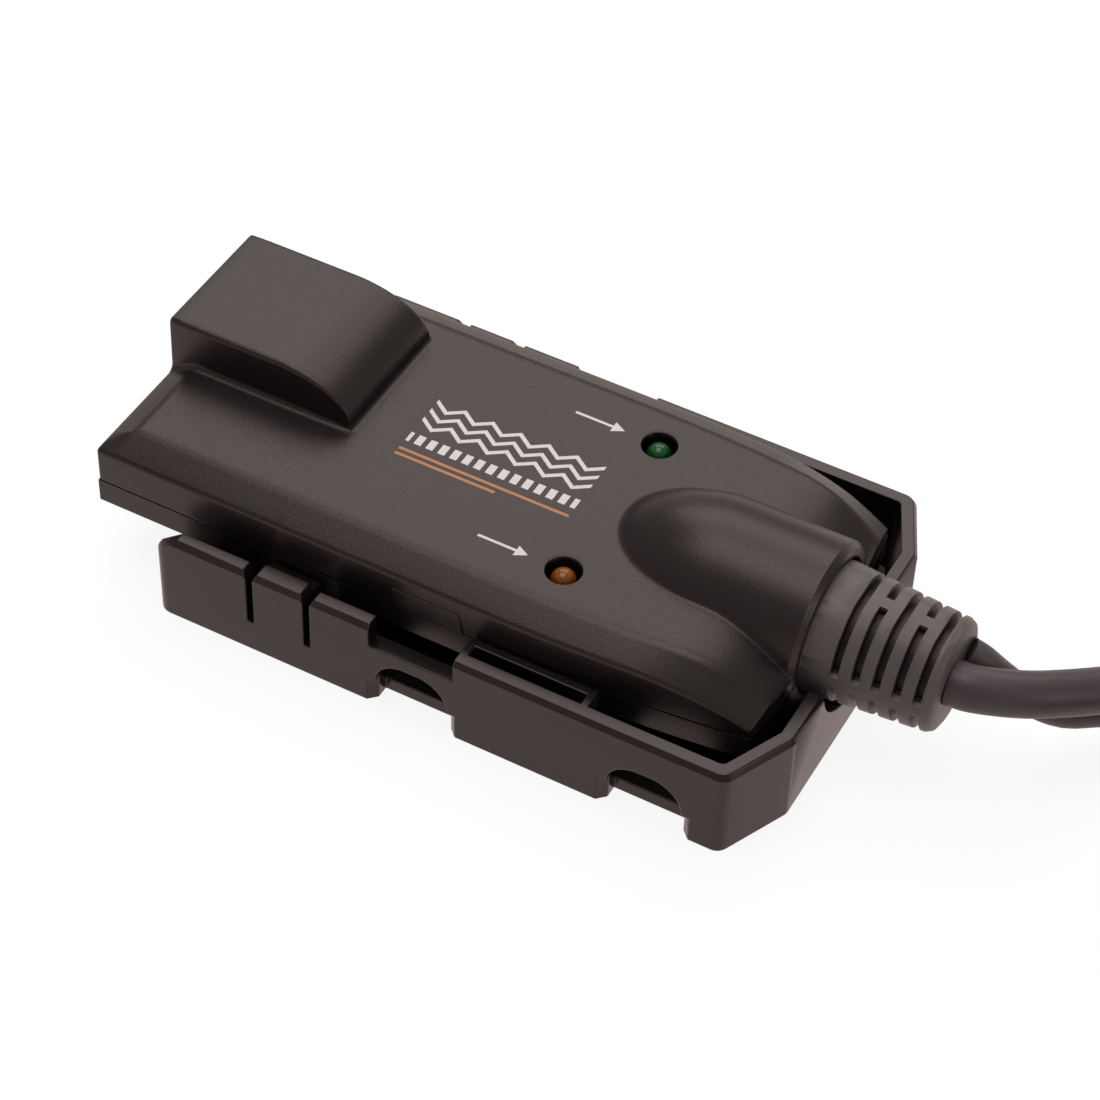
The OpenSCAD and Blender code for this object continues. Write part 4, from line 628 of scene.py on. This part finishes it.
# The end wall of the nose runs down to the seam, and round the hole for the boot.
last = station_count - end_rows - 1
row_share = np.arange(1, end_rows + 1)[:, None] / end_rows
wall_heights = profile[last, [3, 2, 1, 0], 1][:, None]
polar = np.clip(hump_angle / np.radians(hump_turn), -1, 1) * np.radians(boot_hole_turn)
hole_y, hole_z = boot_hole * np.sin(polar), hump_axis + boot_hole * np.cos(polar)
z[nose_rows] = np.minimum(z[last], wall_heights)
y[nose_rows] = y[last]
inside = np.flatnonzero(on_hump)
z[np.ix_(nose_rows, inside)] = z[last, inside] * (1 - row_share) + hole_z * row_share
y[np.ix_(nose_rows, inside)] = y[last, inside] * (1 - row_share) + hole_y * row_share
x[nose_rows] = nose_line(y[nose_rows])

# Upright corners of the case are rounded in plan: a square corner is drawn in to an arc.
for low_end in (True, False):
    from_end = x if low_end else nose_line(y) - x
    side_now = side_of(np.minimum(x, case_length - nose_sweep))
    a, b = corner_radius - from_end, corner_radius - (side_now - np.abs(y))
    near = (a > 0) & (b > 0)
    pull = np.where(near, np.maximum(a, b) / np.maximum(np.hypot(a, b), 1e-9), 1)
    move_x, move_y = np.where(near, a * (1 - pull), 0), np.where(near, b * (1 - pull), 0)
    x = x + (move_x if low_end else -move_x)
    y = y - np.sign(y) * move_y

# The grid is open over the socket's mouth. Round each lamp a patch of it is taken out, and rings lead from
# the patch's border to a round hole with a soft edge and a short sleeve. Rings are a radius and a height.
patch_half_length, patch_half_width = 4.0, 3.8
hole_rings = [(3.0, top), (lamp_hole + 0.35, top), (lamp_hole + 0.12, top - 0.05), (lamp_hole, top - 0.22),
              (lamp_hole, top - 1.7)]
rows, columns = z.shape
grid = np.stack([x, y, z], -1).reshape(-1, 3)
r, c = np.meshgrid(np.arange(rows - 1), np.arange(columns - 1), indexing="ij")
keep = np.ones(r.shape, bool)
socket_first = edge_lines + int(np.argmin(np.abs(socket_lines - socket_low_y)))
socket_last = edge_lines + int(np.argmin(np.abs(socket_lines - socket_high_y)))
keep[0:2, socket_first:socket_last] = False
patches, patch_faces, base = [grid], [], rows * columns
row_a, row_mid, row_b = (int(np.argmin(np.abs(stations - lamp_spot - d)))
                         for d in (-patch_half_length, 0, patch_half_length))
for side in (-1, 1):
    lamp_y = side * lamp_aside
    line_a, line_b = sorted(int(np.argmin(np.abs(y[row_mid] - lamp_y - side * d)))
                            for d in (-patch_half_width, patch_half_width))
    keep[row_a:row_b, line_a:line_b] = False
    loop_r = np.r_[np.full(line_b - line_a, row_a), np.arange(row_a, row_b),
                   np.full(line_b - line_a, row_b), np.arange(row_b, row_a, -1)]
    loop_c = np.r_[np.arange(line_a, line_b), np.full(row_b - row_a, line_b),
                   np.arange(line_b, line_a, -1), np.full(row_b - row_a, line_a)]
    loop = loop_r * columns + loop_c
    count = len(loop)
    angle = np.arctan2(grid[loop, 1] - lamp_y, grid[loop, 0] - lamp_spot)
    circle = np.stack([np.cos(angle), np.sin(angle), np.zeros(count)], 1)
    patches += [circle * ring_radius + (lamp_spot, lamp_y, height) for ring_radius, height in hole_rings]
    loops = [loop] + [base + k * count + np.arange(count) for k in range(len(hole_rings))]
    base += len(hole_rings) * count
    for outside, within in zip(loops[:-1], loops[1:]):
        patch_faces.append(np.stack([outside, within, np.roll(within, -1), np.roll(outside, -1)], 1))
corner = (r * columns + c)[keep]
faces = np.stack([corner, corner + columns, corner + columns + 1, corner + 1], 1)
all_points, all_faces = in_metres(np.vstack(patches)), np.vstack([faces, *patch_faces])
shell = new_piece("top_shell", all_points, all_faces, case_plastic, smooth=40)
clean = bmesh.new()
clean.from_mesh(shell.data)
bmesh.ops.remove_doubles(clean, verts=clean.verts, dist=0.000004)
bmesh.ops.dissolve_degenerate(clean, edges=clean.edges, dist=0.000004)
clean.to_mesh(shell.data)
clean.free()
shell.data.set_sharp_from_angle(angle=np.radians(38))
wall = shell.modifiers.new("wall", "SOLIDIFY")
wall.thickness = 0.0014
wall.offset = -1
even = shell.modifiers.new("even_shading", "WEIGHTED_NORMAL")
even.keep_sharp = True
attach(shell, "adapter")
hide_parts("top_cover")

# Side lug: a thin raised pad on the near wall of the top cover, with a slanted end.
# It is moulded with the cover, in the same plastic.
lug_from, lug_to, lug_top, lug_slant, lug_proud, lug_deep = 43.0, 53.0, 15.9, 0.8, 0.18, 0.4
lug_slanted = lug_to - lug_slant
lug_outline = np.array([[lug_from, seam], [lug_to, seam], [lug_slanted, lug_top], [lug_from, lug_top]])
lug_front = np.insert(lug_outline, 1, -case_half - lug_proud, axis=1)
lug_back = np.insert(lug_outline, 1, -case_half + lug_deep, axis=1)
lug_faces = [[0, 1, 2, 3], [7, 6, 5, 4], [0, 4, 5, 1], [1, 5, 6, 2], [2, 6, 7, 3], [3, 7, 4, 0]]
lug = new_piece("side_lug", in_metres(np.vstack([lug_front, lug_back])), lug_faces, case_plastic)
soft_edge = lug.modifiers.new("edge_rounding", "BEVEL")
soft_edge.width = 0.00012
soft_edge.segments = 2
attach(lug, "adapter")


def turned(name, outline, centre, finish, sides=48, smooth=40):
    """A body of revolution about an upright line: each radius and height of the outline makes one ring."""
    angle = np.linspace(0, 2 * np.pi, sides, endpoint=False)
    ring = np.stack([np.cos(angle), np.sin(angle), np.zeros(sides)], 1)
    upright = outline[:, 1][:, None, None] * (0, 0, 1)
    points = (centre + outline[:, :1, None] * ring + upright).reshape(-1, 3)
    return new_piece(name, in_metres(points), ring_faces(len(outline), sides), finish, smooth)


# Lamps: two 3 mm lamps with domed lenses of tinted clear resin, which stand in holes of the top cover.
# The domes are a little wider and higher than the plain lamps of the part, and darker at their foot.
lens_radius, lens_foot, lens_low, lens_top = 1.62, 1.8, 12.7, 20.0
almost_none = 0.01
glow_from, glow_rise = 0.0176, 0.0022
dome = np.radians(np.arange(0, 91, 9))
dome_radii = np.maximum(lens_radius * np.cos(dome), almost_none)
dome_heights = lens_top - lens_radius + lens_radius * np.sin(dome)
lens_base = [[almost_none, lens_low], [lens_foot, lens_low], [lens_foot, lens_low + 1],
             [lens_radius, lens_low + 1.1]]
lens_outline = np.vstack([lens_base, np.stack([dome_radii, dome_heights], 1)])
for name, node, side, deep, bright in (("green_lens", "green_lamp", 1, (4, 40, 14), (18, 104, 44)),
                                       ("amber_lens", "amber_lamp", -1, (84, 36, 0), (168, 92, 6))):
    resin = Finish(name, linear(*bright), roughness=0.12, ior=1.46)
    spot = resin.place()
    swirl = resin.noise(spot, grains_per_m=900, detail=2)
    high = resin.coordinates(spot)[2]
    core = ((high - glow_from) / glow_rise).clip()
    depth = core * resin.between(swirl, 0.55, 0.95)
    resin.feed("Base Color", resin.mix(depth, linear(*deep), linear(*bright)))
    resin.feed("Roughness", resin.between(swirl, 0.08, 0.2))
    lens = turned(name, lens_outline, np.array([lamp_spot, side * lamp_aside, 0]), resin)
    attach(lens, "adapter")
    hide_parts(node)

# Strain relief boot: soft grey rubber moulded round both leads, slotted across so that it bends, with its
# flange held between the two covers. Little light reaches the feet of the slots, so they are coloured dark:
# all that lies within a cone about the boot's axis, over the length of the slots.
boot_rubber = Finish("boot_rubber", linear(106, 98, 98), roughness=0.5, ior=1.46, specular_tint=warm_gloss)
spot = boot_rubber.place()
cloud = boot_rubber.noise(spot, grains_per_m=110, detail=3)
fine = boot_rubber.noise(spot, grains_per_m=3000, detail=2)
rubber_shade = boot_rubber.mix(boot_rubber.between(cloud, 0, 1), linear(102, 94, 94), linear(116, 108, 108))
slots_middle, slots_half = 0.0456, 0.0068
cone_start, cone_radius, cone_slope = 0.0373, 0.0077, 0.072
along, sideways, high = boot_rubber.coordinates(spot)
rise = high - hump_axis / 1000
cone_now = cone_radius - (along - cone_start) * cone_slope
in_cone = sideways * sideways + rise * rise < cone_now * cone_now
in_slot = in_cone * (abs(along - slots_middle) < slots_half)
boot_rubber.feed("Base Color", boot_rubber.mix(in_slot, rubber_shade, linear(20, 17, 17)))
boot_rubber.feed("Roughness", boot_rubber.between(fine, 0.36, 0.5))
boot_rubber.feed("Normal", boot_rubber.relief(fine, depth=0.000015))
from_cad("flex_boot", "strain_relief_boot", "adapter", boot_rubber, rounding=0.00018)

# Tie: a thin black plastic strap holds the wound turns together.
# It is wrapped round both leads where they run side by side.
tie_plastic = Finish("black_plastic", linear(30, 30, 32), roughness=0.45)
spot = tie_plastic.place()
fine = tie_plastic.noise(spot, grains_per_m=1800, detail=3)
tie_plastic.feed("Base Color", tie_plastic.mix(fine, linear(26, 26, 28), linear(38, 38, 40)))
tie_plastic.feed("Roughness", tie_plastic.between(fine, 0.4, 0.55))
tie_plastic.feed("Normal", tie_plastic.relief(fine, depth=0.00001))
cord_tie = from_cad("cord_tie", "coil_tie", "holder_and_leads", tie_plastic,
                    rounding=0.00012)

# Plug hoods: charcoal plastic moulded over the ends of the leads, with grip ribs.
# Their edges are rounder than those of the case.
charcoal = linear(46, 44, 45)
plug_plastic = Finish("plug_plastic", charcoal, roughness=0.46)
spot = plug_plastic.place()
fine = plug_plastic.noise(spot, grains_per_m=2600, detail=3)
cloud = plug_plastic.noise(spot, grains_per_m=70, detail=2)
hood_shade = plug_plastic.mix(plug_plastic.between(cloud, 0, 1), linear(42, 40, 41), linear(50, 48, 49))
plug_plastic.feed("Base Color", hood_shade)
plug_plastic.feed("Roughness", plug_plastic.between(fine, 0.4, 0.54))
plug_plastic.feed("Normal", plug_plastic.relief(fine, depth=0.000018))
vga_body = from_cad("vga_plug_hood", "vga_hood", "holder_and_leads", plug_plastic,
                    rounding=0.0003, angle=30)
usb_body = from_cad("usb_plug_hood", "usb_hood", "holder_and_leads", plug_plastic,
                    rounding=0.0003, angle=30)

# Thumbscrews: each is a plated steel screw with a ribbed plastic grip moulded over its back half.
# The screw is plastic up to the plug's flange and steel from there on, where it carries a fine thread.
thread_pitch_half, thread_depth = 0.00025, 0.0003
steel = linear(196, 198, 202)
screw_finish = Finish("plastic_and_steel", charcoal, roughness=0.45)
spot = screw_finish.place()
fine = screw_finish.noise(spot, grains_per_m=2600, detail=3)
along = screw_finish.coordinates(spot)[0]
is_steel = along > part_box("vga_shell")[0].x
thread = along.math("PINGPONG", thread_pitch_half) * is_steel * (1 / thread_pitch_half)
screw_finish.feed("Base Color", screw_finish.mix(is_steel, charcoal, steel))
screw_finish.feed("Metallic", is_steel)
screw_finish.feed("Roughness", screw_finish.between(fine, 0.4, 0.54) * (1 - is_steel * 0.4))
screw_finish.feed("Normal", screw_finish.relief(thread, thread_depth))
left_screw = from_cad("left_screw", "thumbscrew_left", "left_thumbscrew", screw_finish,
                      rounding=0.00008, steps=1, angle=35)
right_screw = from_cad("right_screw", "thumbscrew_right", "right_thumbscrew", screw_finish,
                       rounding=0.00008, steps=1, angle=35)

# Plug shells and screws: plated steel, drawn or turned, with faint lengthwise tooling marks.
# The clamp's and the covers' screws keep the part's own shape.
plated_steel = Finish("plated_steel", steel, roughness=0.28, metallic=1.0)
spot = plated_steel.place((0.06, 1, 1))
marks = plated_steel.noise(spot, grains_per_m=5200, detail=3, rough=0.7)
plated_steel.feed("Base Color", plated_steel.mix(marks, linear(178, 180, 184), linear(208, 210, 214)))
plated_steel.feed("Roughness", plated_steel.between(marks, 0.22, 0.38))
plated_steel.feed("Normal", plated_steel.relief(marks, depth=0.000003))
vga_metal = from_cad("vga_plug_shell", "vga_shell", "holder_and_leads", plated_steel,
                     rounding=0.0001, steps=1)
usb_metal = from_cad("usb_plug_shell", "usb_shell", "holder_and_leads", plated_steel,
                     rounding=0.0001, steps=1)


def finish_nodes(finish, *nodes):
    """CAD pieces that keep their own shape take a finished material."""
    for node in nodes:
        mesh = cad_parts[node].data
        mesh.materials.clear()
        mesh.materials.append(finish.material)


finish_nodes(plated_steel, "clamp_screws", "cover_screws")

# Contacts: gold-plated bronze springs of the socket, and pins and contacts of both plugs.
# They keep the part's own shape.
gold_contacts = Finish("gold_contacts", linear(226, 184, 92), roughness=0.24, metallic=1.0)
spot = gold_contacts.place()
rub = gold_contacts.noise(spot, grains_per_m=2400, detail=2)
gold_contacts.feed("Base Color", gold_contacts.mix(rub, linear(206, 160, 72), linear(236, 198, 112)))
gold_contacts.feed("Roughness", gold_contacts.between(rub, 0.18, 0.34))
finish_nodes(gold_contacts, "socket_contacts", "vga_pins", "usb_contacts")

# Plastic inside the plugs: a blue insulator round the VGA pins and a white tongue in the USB shell.
# Both are moulded, and keep the part's own shape.
for name, node, low, high in (("blue_plastic", "vga_insulator", (16, 44, 132), (28, 62, 160)),
                              ("white_plastic", "usb_tongue", (214, 214, 212), (232, 232, 230))):
    moulded = Finish(name, linear(*high), roughness=0.45)
    spot = moulded.place()
    fine = moulded.noise(spot, grains_per_m=1500, detail=3)
    moulded.feed("Base Color", moulded.mix(fine, linear(*low), linear(*high)))
    moulded.feed("Roughness", moulded.between(fine, 0.38, 0.55))
    finish_nodes(moulded, node)

# Board: glass fibre under a green solder mask, through which the tracks show paler and raised.
# It lies on the rests of the bottom cover, and the cover screws' posts pass through its holes.
track_sizes = {"Scale": 240.0, "Mortar Size": 0.03, "Brick Width": 0.9, "Row Height": 0.31}
solder_mask = Finish("solder_mask", linear(22, 92, 48), roughness=0.3, coat_weight=0.3)
spot = solder_mask.place()
tracks = solder_mask.node("ShaderNodeTexBrick", {"offset": 0.37}, {"Vector": spot, **track_sizes}, "Fac")
solder_mask.feed("Base Color", solder_mask.mix(tracks, linear(18, 78, 40), linear(40, 124, 66)))
solder_mask.feed("Normal", solder_mask.relief(tracks, depth=0.00002))
finish_nodes(solder_mask, "circuit_board")

# Black packages: the chips, the cable clamp and the network socket's housing are of filled black resin.
# The housing stands on the board inside the bump, and its mouth shows at the end of the case.
package_resin = Finish("package_resin", linear(34, 34, 36), roughness=0.55)
spot = package_resin.place()
fine = package_resin.noise(spot, grains_per_m=3000, detail=3)
package_resin.feed("Base Color", package_resin.mix(fine, linear(28, 28, 30), linear(42, 42, 44)))
package_resin.feed("Normal", package_resin.relief(fine, depth=0.00001))
finish_nodes(package_resin, "chips", "cable_clamp")
from_cad("socket_housing", "network_socket", "adapter", package_resin,
         rounding=0.0001, steps=1)

# Cans: the capacitors and the crystal have drawn aluminium cans with upright tooling marks.
# They stand on the board and keep the part's own shape.
aluminium_can = Finish("aluminium_can", linear(190, 192, 194), roughness=0.32, metallic=1.0)
spot = aluminium_can.place((1, 1, 0.1))
marks = aluminium_can.noise(spot, grains_per_m=4000, detail=3)
aluminium_can.feed("Base Color", aluminium_can.mix(marks, linear(172, 174, 178), linear(204, 206, 208)))
aluminium_can.feed("Roughness", aluminium_can.between(marks, 0.24, 0.42))
finish_nodes(aluminium_can, "capacitors", "crystal")

# Board plugs: two ivory plastic plugs join the leads to the board.
# They are moulded, and keep the part's own shape.
ivory_plastic = Finish("ivory_plastic", linear(226, 218, 196), roughness=0.5)
spot = ivory_plastic.place()
fine = ivory_plastic.noise(spot, grains_per_m=1500, detail=3)
ivory_plastic.feed("Base Color", ivory_plastic.mix(fine, linear(216, 208, 184), linear(232, 226, 206)))
ivory_plastic.feed("Roughness", ivory_plastic.between(fine, 0.42, 0.6))
finish_nodes(ivory_plastic, "vga_board_plug", "usb_board_plug")
